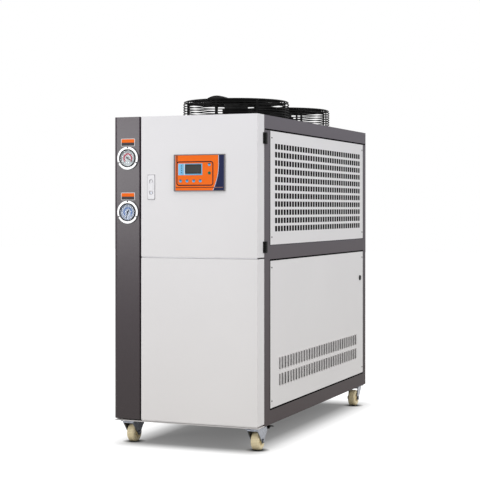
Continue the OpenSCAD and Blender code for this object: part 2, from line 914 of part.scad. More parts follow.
module controller_face() {
    play = 0.4;
    face = [controller_w - 2 * face_rim - play, controller_h - 2 * face_rim - play];
    color("darkorange") controller_place() translate([0, 0, face_out - face_t])
        linear_extrude(face_t) square(face, center = true);
}

module controller_screen() {
    screen_t = 0.4;
    color("steelblue") controller_place() translate([screen_at[0], screen_at[1], face_out])
        linear_extrude(screen_t) square(screen_size, center = true);
}

// Four keys under the screen and two beside it
module controller_keys() {
    key_r = 5.5;
    key_h = 1;
    first_x = -72;
    spacing = 25.6;
    row_y = -28.5;
    side_key_x = 39.5;
    side_key_ys = [29, -1];
    color("dodgerblue") controller_place() {
        for (i = [0 : 3]) translate([first_x + spacing * i, row_y, face_out])
            cylinder(r = key_r, h = key_h);
        for (y = side_key_ys) translate([side_key_x, y, face_out]) cylinder(r = key_r, h = key_h);
    }
}

// Ring of the fan opening: a flange on the roof, the throat and its flared inlet
module fan_ring(y) {
    flare = 10;
    color(black) translate([0, y, roof_z]) rotate_extrude() {
        rect([throat_r, -throat_d], [throat_r + throat_t, flange_t]);
        rect([throat_r, 0], [guard_r + 2, flange_t]);
        rect([throat_r, -throat_d], [throat_r + flare, -throat_d + flange_t]);
    }
}

module fan_ring_front() {
    fan_ring(fan_ys[0]);
}

module fan_ring_rear() {
    fan_ring(fan_ys[1]);
}

// Section of a guard rib: across the top, round the bend and down to the flange
module rib_section() {
    r_out = guard_r - wire + weld;
    z_out = guard_h - wire + weld;
    difference() {
        rect([motor_r - 8, flange_t], [r_out, z_out]);
        rect([0, 0], [r_out - wire, z_out - rib_bend]);
        rect([0, 0], [r_out - rib_bend, z_out - wire]);
        translate([r_out - rib_bend, z_out - rib_bend]) difference() {
            square(rib_bend + 1);
            circle(rib_bend);
        }
        translate([r_out - rib_bend, z_out - rib_bend]) circle(rib_bend - wire);
    }
}

// One ring of the guard, from its inner radius and lower edge
module guard_ring(r, z) {
    rotate([0, 0, 180 / rib_count]) rotate_extrude() rect([r, z], [r + wire, z + wire]);
}

// Wire guard over a fan, with the plate that carries the motor
module fan_guard(y) {
    r_side = guard_r - wire;
    z_top = guard_h - wire;
    side_rings = floor((guard_h - rib_bend - flange_t) / side_ring_pitch);
    r_top = guard_r - rib_bend - wire;
    top_rings = floor((r_top - motor_r - wire) / top_ring_pitch);
    bend_in = rib_bend * (1 - cos(45));
    color(black) translate([0, y, roof_z]) {
        for (i = [0 : rib_count - 1]) rotate([0, 0, 360 / rib_count * i + 90])
            translate([0, rib_w / 2, 0]) rotate([90, 0, 0]) linear_extrude(rib_w) rib_section();
        for (i = [0 : side_rings]) guard_ring(r_side, flange_t + ring_seat + i * side_ring_pitch);
        for (i = [0 : top_rings]) guard_ring(r_top - i * top_ring_pitch, z_top);
        guard_ring(r_side - bend_in, z_top - bend_in);
        translate([0, 0, motor_plate_z]) cylinder(r = motor_r, h = motor_plate_t);
    }
}

module fan_guard_front() {
    fan_guard(fan_ys[0]);
}

module fan_guard_rear() {
    fan_guard(fan_ys[1]);
}

// Low domed cover on the guard's front edge, where the motor lead crosses the rings
module cable_cover(y) {
    dome_r = (cover_w * cover_w / 4 + cover_h * cover_h) / (2 * cover_h);
    y1 = y - guard_r + rib_bend + cover_d;
    color(black) translate([0, y1, roof_z + guard_h]) rotate([90, 0, 0]) linear_extrude(cover_d)
        difference() {
            translate([0, cover_h - dome_r]) circle(dome_r, $fn = 128);
            rect([-2 * dome_r, -2 * dome_r], [2 * dome_r, 0]);
        }
}

module cable_cover_front() {
    cable_cover(fan_ys[0]);
}

module cable_cover_rear() {
    cable_cover(fan_ys[1]);
}

// Motor under the guard's middle, with the shaft that carries the rotor
module fan_motor(y) {
    color("dimgray") translate([0, y, roof_z]) {
        translate([0, 0, motor_plate_z - motor_h]) cylinder(r = motor_r, h = motor_h);
        translate([0, 0, hub_z - motor_gap]) cylinder(r = shaft_r, h = hub_top - hub_z + 3 * motor_gap);
    }
}

module fan_motor_front() {
    fan_motor(fan_ys[0]);
}

module fan_motor_rear() {
    fan_motor(fan_ys[1]);
}

// Outline of a blade from above: it widens from the hub to the round tip
module blade_plan() {
    root_r = hub_r - 12;
    mid_r = hub_r + 30;
    root = [-26, 22];
    mid = [-44, 40];
    tip = [-50, 62];
    intersection() {
        circle(throat_r - tip_gap);
        polygon([[root_r, root[0]], [mid_r, mid[0]], [throat_r, tip[0]],
                 [throat_r, tip[1]], [mid_r, mid[1]], [root_r, root[1]]]);
    }
}

// Cambered section of a blade, drawn across its radius
module blade_section() {
    camber_r = 150;
    rotate(blade_pitch) translate([0, -camber_r]) difference() {
        circle(camber_r);
        circle(camber_r - blade_t);
        rect([-2 * camber_r, -2 * camber_r], [2 * camber_r, camber_r * 0.8]);
    }
}

// Rotor: a bored hub with cambered blades
module fan_rotor(y) {
    blade_z = 20;
    color(black) translate([0, y, roof_z]) difference() {
        union() {
            translate([0, 0, hub_z]) cylinder(r = hub_r, h = hub_top - hub_z);
            for (i = [0 : blade_count - 1]) rotate([0, 0, 360 / blade_count * i]) intersection() {
                translate([0, 0, -blade_z]) rotate([90, 0, 90]) linear_extrude(throat_r) blade_section();
                translate([0, 0, -throat_d]) linear_extrude(throat_d + 10) blade_plan();
            }
        }
        translate([0, 0, hub_z - 1]) cylinder(r = shaft_r + pin_clear, h = hub_top - hub_z + 2);
    }
}

module fan_rotor_front() {
    fan_rotor(fan_ys[0]);
}

module fan_rotor_rear() {
    fan_rotor(fan_ys[1]);
}

// Plates under the base, each with its upper race and swivel pin
module caster_plates() {
    plate_x = 60;
    plate_y = 76;
    race_r = 24;
    head_t = 2.7;
    head_z = crown_z - swivel_gap - head_t;
    color(zinc) for (x = caster_xs, y = caster_ys) translate([x, y, 0]) {
        block([-plate_x / 2, -plate_y / 2, caster_h - plate_t], [plate_x / 2, plate_y / 2, caster_h]);
        translate([0, 0, caster_h - plate_t - race_h]) cylinder(r = race_r, h = race_h + eps);
        translate([0, 0, head_z]) cylinder(r = kingpin_r, h = caster_h - plate_t - head_z + eps);
        translate([0, 0, head_z]) cylinder(r = kingpin_r + 4, h = head_t);
    }
}

// A caster about its swivel pin, drawn with the wheel towards +Y and turned to face the cabinet's middle
module caster_place(x, y) {
    translate([x, y, 0]) rotate([0, 0, y > 0 ? 180 : 0]) children();
}

// Outline of a fork leg from the side, with an ear for the pedal's pin where there is a brake
module fork_leg(braked) {
    eye_r = 10;
    ear_r = 7;
    z_high = crown_z + crown_h;
    polygon([[caster_trail + eye_r, wheel_r], [crown_r, z_high], [-crown_r, z_high],
             [-crown_r, crown_z], [caster_trail - eye_r * 0.8, wheel_r - eye_r * 0.6]]);
    translate([caster_trail, wheel_r]) circle(eye_r);
    if (braked) {
        polygon([[caster_trail + eye_r, wheel_r], [0, z_high], [pedal_pivot_y, z_high],
                 [pedal_pivot_y + ear_r, pedal_pivot_z], [pedal_pivot_y, pedal_pivot_z - ear_r]]);
        translate([pedal_pivot_y, pedal_pivot_z]) circle(ear_r);
    }
}

// Fork with its axle, about the swivel pin
module caster_fork(x, y, braked) {
    head = 4;
    rim = 3;
    reach = fork_in + fork_t;
    color(zinc) caster_place(x, y) difference() {
        union() {
            for (side = [-reach, fork_in]) side_sheet(side, fork_t) fork_leg(braked);
            block([-reach, -crown_r, crown_z], [reach, crown_r, crown_z + crown_h]);
            translate([-reach - head, caster_trail, wheel_r]) rotate([0, 90, 0])
                cylinder(r = axle_r, h = 2 * (reach + head));
            for (side = [-reach - head, reach]) translate([side, caster_trail, wheel_r]) rotate([0, 90, 0])
                cylinder(r = axle_r + rim, h = head);
            if (braked) translate([-reach, pedal_pivot_y, pedal_pivot_z]) rotate([0, 90, 0])
                cylinder(r = pedal_pin_r, h = 2 * reach);
        }
        translate([0, 0, crown_z - 1]) cylinder(r = kingpin_r + pin_clear, h = crown_h + 2);
    }
}

module caster_fork_front_left() {
    caster_fork(caster_xs[0], caster_ys[0], true);
}

module caster_fork_front_right() {
    caster_fork(caster_xs[1], caster_ys[0], true);
}

module caster_fork_rear_left() {
    caster_fork(caster_xs[0], caster_ys[1], false);
}

module caster_fork_rear_right() {
    caster_fork(caster_xs[1], caster_ys[1], false);
}

// Section of a wheel from its bore out: the hub, the web and the round tread
module wheel_section() {
    half = wheel_w / 2;
    dish = 6;
    hub_w = 6;
    hub_out = 1;
    tread_w = 18;
    tread_r = 8;
    lap = 5;
    rect([axle_r + pin_clear, -half - hub_out], [axle_r + hub_w, half + hub_out]);
    rect([axle_r + hub_w - 1, dish - half], [wheel_r - tread_w + lap, half - dish]);
    translate([wheel_r - tread_w / 2, 0]) round_rect(tread_w, wheel_w, tread_r);
}

module caster_wheel(x, y) {
    color("khaki") caster_place(x, y) translate([0, caster_trail, wheel_r]) rotate([0, 90, 0])
        rotate_extrude() wheel_section();
}

module caster_wheel_front_left() {
    caster_wheel(caster_xs[0], caster_ys[0]);
}

module caster_wheel_front_right() {
    caster_wheel(caster_xs[1], caster_ys[0]);
}

module caster_wheel_rear_left() {
    caster_wheel(caster_xs[0], caster_ys[1]);
}

module caster_wheel_rear_right() {
    caster_wheel(caster_xs[1], caster_ys[1]);
}

// Arched tread of a brake pedal from the side, about its pin's height
module pedal_arch() {
    arch_r = 60;
    arch_top = 9;
    tread_t = 4;
    tread_d = 44;
    intersection() {
        rect([pedal_reach - tread_d, -arch_r / 2], [pedal_reach, arch_top + cut]);
        translate([pedal_reach - tread_d / 2, arch_top - arch_r]) difference() {
            circle(arch_r);
            circle(arch_r - tread_t);
        }
    }
}

// Brake pedal: a bored boss between the fork's ears, an arm and the arched tread
module brake_pedal(x) {
    boss_r = 6;
    boss_w = 2 * (fork_in - 1);
    arm_w = boss_w - 6;
    arm_y = pedal_reach - 36;
    arm_half = 4;
    arm_low = 3;
    arm_high = 7;
    color(black) caster_place(x, caster_ys[0]) translate([0, 0, pedal_pivot_z]) difference() {
        union() {
            translate([-boss_w / 2, pedal_pivot_y, 0]) rotate([0, 90, 0]) cylinder(r = boss_r, h = boss_w);
            side_sheet(-arm_w / 2, arm_w)
                polygon([[pedal_pivot_y, -arm_half], [pedal_pivot_y, arm_half],
                         [arm_y, arm_high], [arm_y, arm_low]]);
            side_sheet(-pedal_w / 2, pedal_w) pedal_arch();
        }
        translate([-boss_w, pedal_pivot_y, 0]) rotate([0, 90, 0])
            cylinder(r = pedal_pin_r + pin_clear, h = 2 * boss_w);
    }
}

module brake_pedal_left() {
    brake_pedal(caster_xs[0]);
}

module brake_pedal_right() {
    brake_pedal(caster_xs[1]);
}

base_frame();
front_posts();
rear_posts();
mid_rails();
roof_cover();
divider_plate();
front_pillar();
front_lower_panel();
control_box();
mounting_plate();
right_grille_panel();
left_grille_panel();
right_louvre_panel();
left_louvre_panel();
rear_upper_panel();
rear_lower_panel();
right_coil();
left_coil();
panel_locks();
gauge_cases();
gauge_bezels();
gauge_dials();
gauge_needles();
gauge_lenses();
hinge_post_leaves();
fan_ring_front();
fan_ring_rear();
fan_guard_front();
fan_guard_rear();
fan_motor_front();
fan_motor_rear();
cable_cover_front();
cable_cover_rear();
caster_plates();
water_inlet();
water_outlet();
drain_port();
cable_gland();
front_door();
hinge_door_leaves();
door_latch();
controller_housing();
controller_face();
controller_screen();
controller_keys();
fan_rotor_front();
fan_rotor_rear();
caster_fork_front_left();
caster_fork_front_right();
caster_fork_rear_left();
caster_fork_rear_right();
caster_wheel_front_left();
caster_wheel_front_right();
caster_wheel_rear_left();
caster_wheel_rear_right();
brake_pedal_left();
brake_pedal_right();
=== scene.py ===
"""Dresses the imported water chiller: finishes, fasteners, seals, printing, floor, light and camera."""

import json
import math

import bmesh
import bpy
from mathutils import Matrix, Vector


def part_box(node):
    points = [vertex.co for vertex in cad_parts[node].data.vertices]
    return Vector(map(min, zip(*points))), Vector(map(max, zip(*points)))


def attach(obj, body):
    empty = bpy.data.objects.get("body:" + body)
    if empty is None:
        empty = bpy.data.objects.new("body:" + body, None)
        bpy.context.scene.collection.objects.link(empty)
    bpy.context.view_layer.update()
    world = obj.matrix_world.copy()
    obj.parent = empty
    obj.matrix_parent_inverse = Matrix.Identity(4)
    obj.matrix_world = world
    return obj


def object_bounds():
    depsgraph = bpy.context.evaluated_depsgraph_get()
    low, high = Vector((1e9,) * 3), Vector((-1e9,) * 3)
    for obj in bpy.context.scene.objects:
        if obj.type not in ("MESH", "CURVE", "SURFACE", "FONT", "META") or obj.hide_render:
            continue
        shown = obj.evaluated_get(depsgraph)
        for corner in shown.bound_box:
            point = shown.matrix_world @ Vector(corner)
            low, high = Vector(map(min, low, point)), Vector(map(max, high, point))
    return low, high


bl_info = {
    "name": "Water chiller dressing",
    "version": (1, 0, 0),
    "blender": (4, 5, 0),
    "location": "View3D > Sidebar > Chiller",
    "description": "Finishes, fasteners and printed areas of a packed water chiller",
    "category": "Object",
}

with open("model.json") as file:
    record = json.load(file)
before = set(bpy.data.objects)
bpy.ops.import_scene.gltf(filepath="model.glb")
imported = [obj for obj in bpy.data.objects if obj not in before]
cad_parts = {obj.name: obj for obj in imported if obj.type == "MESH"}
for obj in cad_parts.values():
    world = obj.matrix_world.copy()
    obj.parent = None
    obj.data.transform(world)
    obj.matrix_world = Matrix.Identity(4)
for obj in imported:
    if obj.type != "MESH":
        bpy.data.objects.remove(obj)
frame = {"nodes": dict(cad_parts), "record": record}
CAD_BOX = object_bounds()
MM = 0.001

# Outward directions
RIGHT, LEFT = (1, 0, 0), (-1, 0, 0)
FRONT, REAR = (0, -1, 0), (0, 1, 0)
UP, DOWN = (0, 0, 1), (0, 0, -1)

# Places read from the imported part
SIDE_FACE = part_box("right_grille_panel")[1].x
GAUGE_LOW, GAUGE_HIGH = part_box("gauge_cases")
GAUGE_RADIUS = (GAUGE_HIGH.x - GAUGE_LOW.x) / 2
GAUGE_X = GAUGE_LOW.x + GAUGE_RADIUS
GAUGE_HEIGHTS = (GAUGE_LOW.z + GAUGE_RADIUS, GAUGE_HIGH.z - GAUGE_RADIUS)

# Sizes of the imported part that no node's box gives
LOUVRE_PITCH = 30 * MM
LOUVRES_IN_ROW = 32
LOUVRE_MIDDLE = 266 * MM
LOUVRE_ROW_RISE = 29.5 * MM
LOUVRE_HALF_HEIGHT = 21.5 * MM
HINGE_LEAF_HEIGHT = 40 * MM
HINGE_LEAF_THICKNESS = 3 * MM
CASTER_PLATE_HALF = (30 * MM, 38 * MM)
CASTER_BOLT_REACH = (22 * MM, 30 * MM)
CASTER_PLATE_THICKNESS = 3 * MM

# Seals that stand in for the shadow in the panel gaps, and lips
SEAL_DEPTH = 4.2 * MM
SEAL_INSET = 1.5 * MM
SEAL_OVERLAP = 0.1 * MM
SEAL_ROUNDING = 0.4 * MM
SKIRT_STRIP_HEIGHT = 5 * MM
SKIRT_STRIP_INSET = 4 * MM
SKIRT_STRIP_RISE = 0.4 * MM
LIP_DEPTH = 6 * MM
LIP_INSET = 3 * MM
LIP_ROUNDING = 0.5 * MM

# Places of screws and labels
PANEL_SCREW_INSET = (15 * MM, 27 * MM)
HINGE_SCREW_SPREAD = 12 * MM
POST_SCREW_INSET = 8.5 * MM
DOOR_SCREW_INSET = 4.6 * MM
GAUGE_SCREW_INSET = 3.9 * MM
GAUGE_SCREW_ANGLES = (90, 205, 335)
GUARD_SCREW_INSET = 16 * MM
LABEL_GAP = 1 * MM
NUMBER_REACH = 20.2 * MM
NUMBER_HEIGHT = 4.6 * MM

# Stage
SEEN_RAYS = ("Is Camera Ray", "Is Glossy Ray", "Is Transmission Ray")
WORLD_LIGHT = 0.42
SHADOW_INNER = 0.09
SHADOW_WIDTH = 0.19
SHADOW_LEVEL = 0.15
CONTACT_RADIUS = 0.046
CAMERA_PLACE = (1.947, -4.9305, 0.857)
CAMERA_TURN = (math.radians(90), 0, math.radians(22.05))
CAMERA_LENS = 99.12
CAMERA_SHIFT = -0.0655
SOFT_BOXES = (
    ("left soft box", (-2.5, -4.9, 1.25), (0.0, -0.6, 1.0), (1.9, 1.0), 62.0),
    ("right soft box", (4.5, -1.6, 2.7), (0.2, 0.1, 0.8), (2.2, 2.0), 58.0),
    ("overhead soft box", (0.0, -1.2, 4.4), (0.0, 0.0, 0.5), (2.6, 2.6), 78.0),
)


def tone(red, green, blue):
    """A colour as it is read off a screen, turned into the light values that finishes use."""
    return tuple(
        (c / 255 / 12.92) if c <= 10 else ((c / 255 + 0.055) / 1.055) ** 2.4
        for c in (red, green, blue)
    ) + (1.0,)


def middle(node):
    """The middle of a node's box."""
    low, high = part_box(node)
    return (low + high) / 2


def colour_property(name, description, value):
    return bpy.props.FloatVectorProperty(
        name=name,
        description=description,
        subtype="COLOR",
        size=4,
        min=0.0,
        max=1.0,
        default=value,
    )


def length_property(name, description, value):
    return bpy.props.FloatProperty(
        name=name, description=description, unit="LENGTH", min=0.0, precision=4, default=value
    )


class ChillerColours(bpy.types.PropertyGroup):
    """Colours of the painted, printed and moulded surfaces."""

    cabinet_white: colour_property(
        "Cabinet white", "Powder coat of the panels and the door", tone(227, 226, 229)
    )
    # Painted shade: the white coat's darker tone near the floor.
    cabinet_shaded_foot: colour_property("Cabinet foot", "The same coat near the floor", tone(220, 217, 215))
    frame_grey: colour_property("Frame grey", "Textured powder coat of the frame", tone(102, 98, 105))
    # Painted shade: the frame coat's darker tone near the floor.
    frame_shaded_foot: colour_property("Frame foot", "The same coat near the floor", tone(68, 59, 58))
    pillar_grey: colour_property("Pillar grey", "Smooth coat of the gauge pillar", tone(57, 44, 55))
    # Painted shade: the pillar coat's darker tone near the floor.
    pillar_shaded_foot: colour_property("Pillar foot", "The same coat near the floor", tone(38, 28, 28))
    guard_black: colour_property("Guard black", "Paint of the fan guards, hinges and locks", tone(9, 9, 9))
    zinc: colour_property("Zinc", "Plating of the forks, plates and screws", tone(128, 131, 138))
    chrome: colour_property("Chrome", "Plating of the gauge flanges", tone(212, 212, 214))
    panel_orange: colour_property(
        "Panel orange", "Printed field of the controller and the labels", tone(244, 112, 34)
    )
    panel_navy: colour_property("Panel navy", "Printed edge of the controller", tone(40, 45, 78))
    panel_line: colour_property("Panel line", "Printed lines of the controller", tone(34, 30, 44))
    screen_blue: colour_property("Screen blue", "Surround of the controller's screen", tone(122, 186, 224))
    screen_dark: colour_property("Screen dark", "Window of the controller's screen", tone(50, 52, 52))
    key_blue: colour_property("Key blue", "Keys of the controller", tone(96, 170, 220))
    key_green: colour_property("Key green", "Start key of the controller", tone(16, 104, 84))
    wheel_cream: colour_property("Wheel cream", "Nylon of the caster wheels", tone(242, 226, 184))
    dial_red: colour_property("Dial red", "Scale of the upper gauge", tone(216, 62, 96))
    dial_blue: colour_property("Dial blue", "Scale of the lower gauge", tone(104, 142, 210))
    floor: colour_property("Floor", "The pale floor", tone(176, 176, 176))


class ChillerSizes(bpy.types.PropertyGroup):
    """Sizes of the small fittings."""

    screw_radius: length_property("Screw radius", "Head radius of a panel screw", 2.6 * MM)
    hinge_screw_radius: length_property("Hinge screw radius", "Head radius of a hinge screw", 2.8 * MM)
    gauge_screw_radius: length_property("Gauge screw radius", "Head radius of a gauge flange screw", 2.6 * MM)
    bolt_radius: length_property("Bolt radius", "Head radius of a caster bolt", 5.0 * MM)
    # The seal round a panel is a black strip that stands in for the shadow in its gap.
    seal_width: length_property("Seal width", "Width of the seal round a panel", 3.1 * MM)
    seal_lip: length_property("Seal lip", "Reach of that seal over the panel's edge", 2.6 * MM)
    seal_drop: length_property("Seal drop", "Reach of the lips under the door and the lower panel", 4.0 * MM)
    label_width: length_property("Label width", "Width of a plate over a gauge", 56 * MM)
    label_height: length_property("Label height", "Height of a plate over a gauge", 28 * MM)
    label_thickness: length_property("Label thickness", "Thickness of a plate over a gauge", 0.9 * MM)


class Flow:
    """A value inside a finish. Arithmetic on it adds Math nodes."""

    def __init__(self, finish, socket):
        self.finish = finish
        self.socket = socket

    def maths(self, operation, first, second=0.0):
        return self.finish.node("ShaderNodeMath", {"operation": operation}, {0: first, 1: second})

    def __add__(self, other):
        return self.maths("ADD", self, other)

    def __radd__(self, other):
        return self.maths("ADD", other, self)

    def __sub__(self, other):
        return self.maths("SUBTRACT", self, other)

    def __rsub__(self, other):
        return self.maths("SUBTRACT", other, self)

    def __mul__(self, other):
        return self.maths("MULTIPLY", self, other)

    def __rmul__(self, other):
        return self.maths("MULTIPLY", other, self)

    def __truediv__(self, other):
        return self.maths("DIVIDE", self, other)

    def __abs__(self):
        return self.maths("ABSOLUTE", self)

    def __lt__(self, other):
        return self.maths("LESS_THAN", self, other)

    def __gt__(self, other):
        return self.maths("GREATER_THAN", self, other)

    def above(self, other):
        return self.maths("MAXIMUM", self, other)

    def below(self, other):
        return self.maths("MINIMUM", self, other)

    def root(self):
        return self.maths("SQRT", self)

    def share(self):
        return self.maths("FRACT", self)

    def turn(self, other):
        """The angle of the point whose height is this value and whose reach is the other."""
        return self.maths("ARCTAN2", self, other)


class Finish:
    """A material under construction, with its object coordinates at hand."""

    def __init__(self, name):
        self.material = bpy.data.materials.new(name)
        self.material.use_nodes = True
        self.tree = self.material.node_tree
        self.shader = self.tree.nodes["Principled BSDF"]
        self.place = self.node("ShaderNodeTexCoord", {}, {}, "Object")

    def node(self, kind, settings, sockets, output=0):
        made = self.tree.nodes.new(kind)
        for key, value in settings.items():
            setattr(made, key, value)
        for key, value in sockets.items():
            self.feed(made.inputs[key], value)
        return Flow(self, made.outputs[output])

    def feed(self, socket, value):
        if isinstance(value, Flow):
            self.tree.links.new(value.socket, socket)
        else:
            socket.default_value = value

    def axis(self, name):
        return self.node("ShaderNodeSeparateXYZ", {}, {0: self.place}, name)

    def stretched(self, x, y, z):
        return self.node("ShaderNodeVectorMath", {"operation": "MULTIPLY"}, {0: self.place, 1: (x, y, z)})

    def grain(self, scale, detail=2.0, place=None):
        sockets = {"Vector": place or self.place, "Scale": scale, "Detail": detail}
        return self.node("ShaderNodeTexNoise", {}, sockets, "Fac")

    def mix(self, share, first, second):
        sockets = {0: share, 6: first, 7: second}
        return self.node("ShaderNodeMix", {"data_type": "RGBA"}, sockets, 2)

    def relief(self, height, strength, depth):
        sockets = {"Height": height, "Strength": strength, "Distance": depth}
        self.surface({"Normal": self.node("ShaderNodeBump", {}, sockets)})

    def surface(self, sockets):
        for key, value in sockets.items():
            self.feed(self.shader.inputs[key], value)

    def coat(self, colour, rough, level=0.5):
        """Sets the colour, the roughness and the strength of the reflections."""
        self.surface({"Base Color": colour, "Roughness": rough, "Specular IOR Level": level})


def shade(colour, factor):
    """A lighter or darker version of a colour."""
    return tuple(min(1.0, c * factor) for c in colour[:3]) + (1.0,)


def powder_coat(name, foot, head, peel, gloss, level, patch=None):
    """Baked powder coat: a fine orange peel, a slow drift of tone, and painted shade that takes the colour
    from the darker foot tone near the floor to the head tone at the top.

    A patch is a test of the place and the colour that the coat has there instead.
    """
    finish = Finish(name)
    fine = finish.grain(peel, 3.0)
    broad = finish.grain(2.2, 3.0)
    # Painted shade: the colour darkens from the head tone down to the foot tone near the floor.
    height = (finish.axis("Z") / CAD_BOX[1].z).below(1.0)
    low = finish.mix(broad, shade(foot, 0.95), shade(foot, 1.05))
    high = finish.mix(broad, shade(head, 0.95), shade(head, 1.05))
    colour = finish.mix(height, low, high)
    if patch:
        test, other = patch
        colour = finish.mix(test(finish), colour, other)
    finish.coat(colour, gloss + 0.06 * broad + 0.05 * fine, level)
    finish.relief(fine, 0.10, 0.4 * MM)
    return finish.material


def white_coat(name, colours, patch=None):
    """The cabinet's smooth white coat."""
    return powder_coat(name, colours.cabinet_shaded_foot, colours.cabinet_white, 520.0, 0.42, 0.35, patch)


def white_paint(colours):
    return white_coat("white powder coat", colours)


def grille_paint(colours):
    """The white coat, with painted shade: the walls inside the slots are near black."""
    skin = SIDE_FACE - 0.15 * MM
    # Painted shade: inside the slots the coat turns near black.
    patch = (lambda finish: abs(finish.axis("X")) < skin, tone(30, 30, 32))
    return white_coat("grille coat", colours, patch)


def louvre_paint(colours):
    """The white coat, with a painted shadow of the hoods: a grey line between each two louvres."""
    centre = middle("right_louvre_panel")

    def hood_shadow_line(finish):
        along = (finish.axis("Y") - centre.y) / LOUVRE_PITCH
        rise = abs(abs(finish.axis("Z") - LOUVRE_MIDDLE) - LOUVRE_ROW_RISE)
        hood_shadow_stripe = abs(along.share() - 0.89) < 0.075
        return hood_shadow_stripe * (abs(along) < LOUVRES_IN_ROW / 2) * (rise < LOUVRE_HALF_HEIGHT)

    # Painted shadow: a grey line beside each louvre hood.
    return white_coat("louvre coat", colours, (hood_shadow_line, tone(118, 116, 115)))


def grey_coat(name, colours, patch=None):
    """The frame's textured grey coat."""
    return powder_coat(name, colours.frame_shaded_foot, colours.frame_grey, 900.0, 0.5, 0.1, patch)


def grey_paint(colours):
    return grey_coat("grey textured coat", colours)


def base_paint(colours):
    """The grey coat, with the front sill white like the panel above it."""
    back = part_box("front_lower_panel")[1].y - 1 * MM
    # The sill takes the white coat's foot tone, which carries painted shade.
    patch = (lambda finish: finish.axis("Y") < back, colours.cabinet_shaded_foot)
    return grey_coat("base coat", colours, patch)


def pillar_paint(colours):
    return powder_coat("pillar coat", colours.pillar_shaded_foot, colours.pillar_grey, 900.0, 0.22, 0.35)


def black_paint(colours):
    """Dipped black paint, glossier where it has run and dusty in between."""
    finish = Finish("black dipped paint")
    fine = finish.grain(700.0, 2.0)
    dust = finish.grain(26.0, 4.0)
    colour = finish.mix(dust, shade(colours.guard_black, 0.6), shade(colours.guard_black, 1.5))
    finish.coat(colour, 0.5 + 0.2 * dust, 0.12)
    finish.relief(fine, 0.08, 0.3 * MM)
    return finish.material


def plated(name, colour, rough, spangle):
    """Plated sheet with a spangle and rubbed streaks, whose strong light and dark mottling is also a painted
    reflection.
    """
    finish = Finish(name)
    cells = finish.node("ShaderNodeTexVoronoi", {}, {"Vector": finish.place, "Scale": spangle}, "Color")
    tint = finish.node("ShaderNodeSeparateColor", {}, {0: cells})
    rub = finish.grain(60.0, 4.0, finish.stretched(1.0, 1.0, 6.0))
    # Painted reflection: the spangle and streaks swing far lighter and darker than the plating's own tone.
    finish.surface(
        {
            "Base Color": finish.mix(tint * 0.6 + rub * 0.4, shade(colour, 0.62), shade(colour, 1.3)),
            "Metallic": 0.9,
            "Roughness": rough + 0.16 * rub,
        }
    )
    finish.relief(rub, 0.05, 0.2 * MM)
    return finish.material


def zinc_plate(colours):
    return plated("zinc plate", colours.zinc, 0.16, 160.0)


def coil_fins(colours):
    """Dark condenser block: close upright fins crossed by rows of return tubes, with painted shade darker
    between the fins.
    """
    finish = Finish("condenser fins")
    along = finish.axis("Y")
    up = finish.axis("Z")
    fin = abs((along * 250.0).share() - 0.5) * 2.0
    tube = abs((up * 38.0).share() - 0.5) < 0.12
    dust = finish.grain(18.0, 4.0)
    # Painted shade: each fin's edge a little lighter than the gap beside it.
    bare = finish.mix(fin * 0.7 + dust * 0.3, tone(2, 2, 2), tone(14, 14, 15))
    finish.coat(finish.mix(tube * 0.35, bare, tone(28, 20, 16)), 0.7 + 0.2 * dust, 0.15)
    finish.relief(fin, 0.6, 1.0 * MM)
    return finish.material


def gauge_plane(finish):
    """Millimetres from a point's own gauge: straight, across and up, and whether it is the upper one."""
    z_low, z_high = GAUGE_HEIGHTS
    up = finish.axis("Z")
    upper = up > (z_low + z_high) / 2
    across = (finish.axis("X") - GAUGE_X) * 1000.0
    rise = (up - (z_low + (z_high - z_low) * upper)) * 1000.0
    return (across * across + rise * rise).root(), across, rise, upper


def gauge_ring(colours):
    """Bright flange, turned in fine circles about each gauge's axis, with a dark edge."""
    finish = Finish("gauge flange")
    radius = gauge_plane(finish)[0]
    swirl = finish.grain(300.0, 2.0)
    turned = abs((radius * 1.6).share() - 0.5) * 2.0
    plate = finish.mix(turned * 0.3 + swirl * 0.2, shade(colours.chrome, 1.0), shade(colours.chrome, 0.9))
    rim = GAUGE_RADIUS / MM - 1.1
    finish.surface(
        {
            "Base Color": finish.mix(radius > rim, plate, shade(colours.chrome, 0.2)),
            "Metallic": 0.35,
            "Roughness": 0.34 + 0.08 * swirl,
        }
    )
    finish.relief(turned, 0.03, 0.2 * MM)
    return finish.material


def dial_white(colours):
    """Printed dial: a coloured band, long and short strokes, and an outer line."""
    finish = Finish("printed dial")
    radius, across, rise, upper = gauge_plane(finish)
    angle = across.turn(rise)
    span = abs(angle) < math.radians(136)
    strokes = 1.0 - (abs((angle * (40 / math.tau) + 0.5).share() - 0.5) > 0.08)
    longs = 1.0 - (abs((angle * (8 / math.tau) + 0.5).share() - 0.5) > 0.03)
    fine_ring = (abs(radius - 25.4) < 1.4) * strokes
    long_ring = (abs(radius - 24.4) < 2.4) * longs
    ink = (fine_ring.above(long_ring) * span).above(abs(radius - 27.2) < 0.35)
    band = (abs(radius - 15.4) < 2.9) * span
    paper = finish.grain(240.0, 2.0)
    upper_bare = finish.mix(paper, tone(232, 240, 244), tone(240, 246, 250))
    lower_bare = finish.mix(paper, tone(208, 222, 246), tone(218, 230, 250))
    bare = finish.mix(upper, lower_bare, upper_bare)
    bandy = finish.mix(upper, colours.dial_blue, colours.dial_red)
    printed = finish.mix(ink, finish.mix(band * 0.92, bare, bandy), tone(40, 40, 46))
    finish.coat(printed, 0.6 + 0.1 * paper, 0.1)
    return finish.material


def needle_black(colours):
    finish = Finish("needle lacquer")
    fine = finish.grain(900.0, 2.0)
    finish.coat(finish.mix(fine, tone(20, 20, 22), tone(34, 34, 38)), 0.5 + 0.1 * fine, 0.15)
    return finish.material


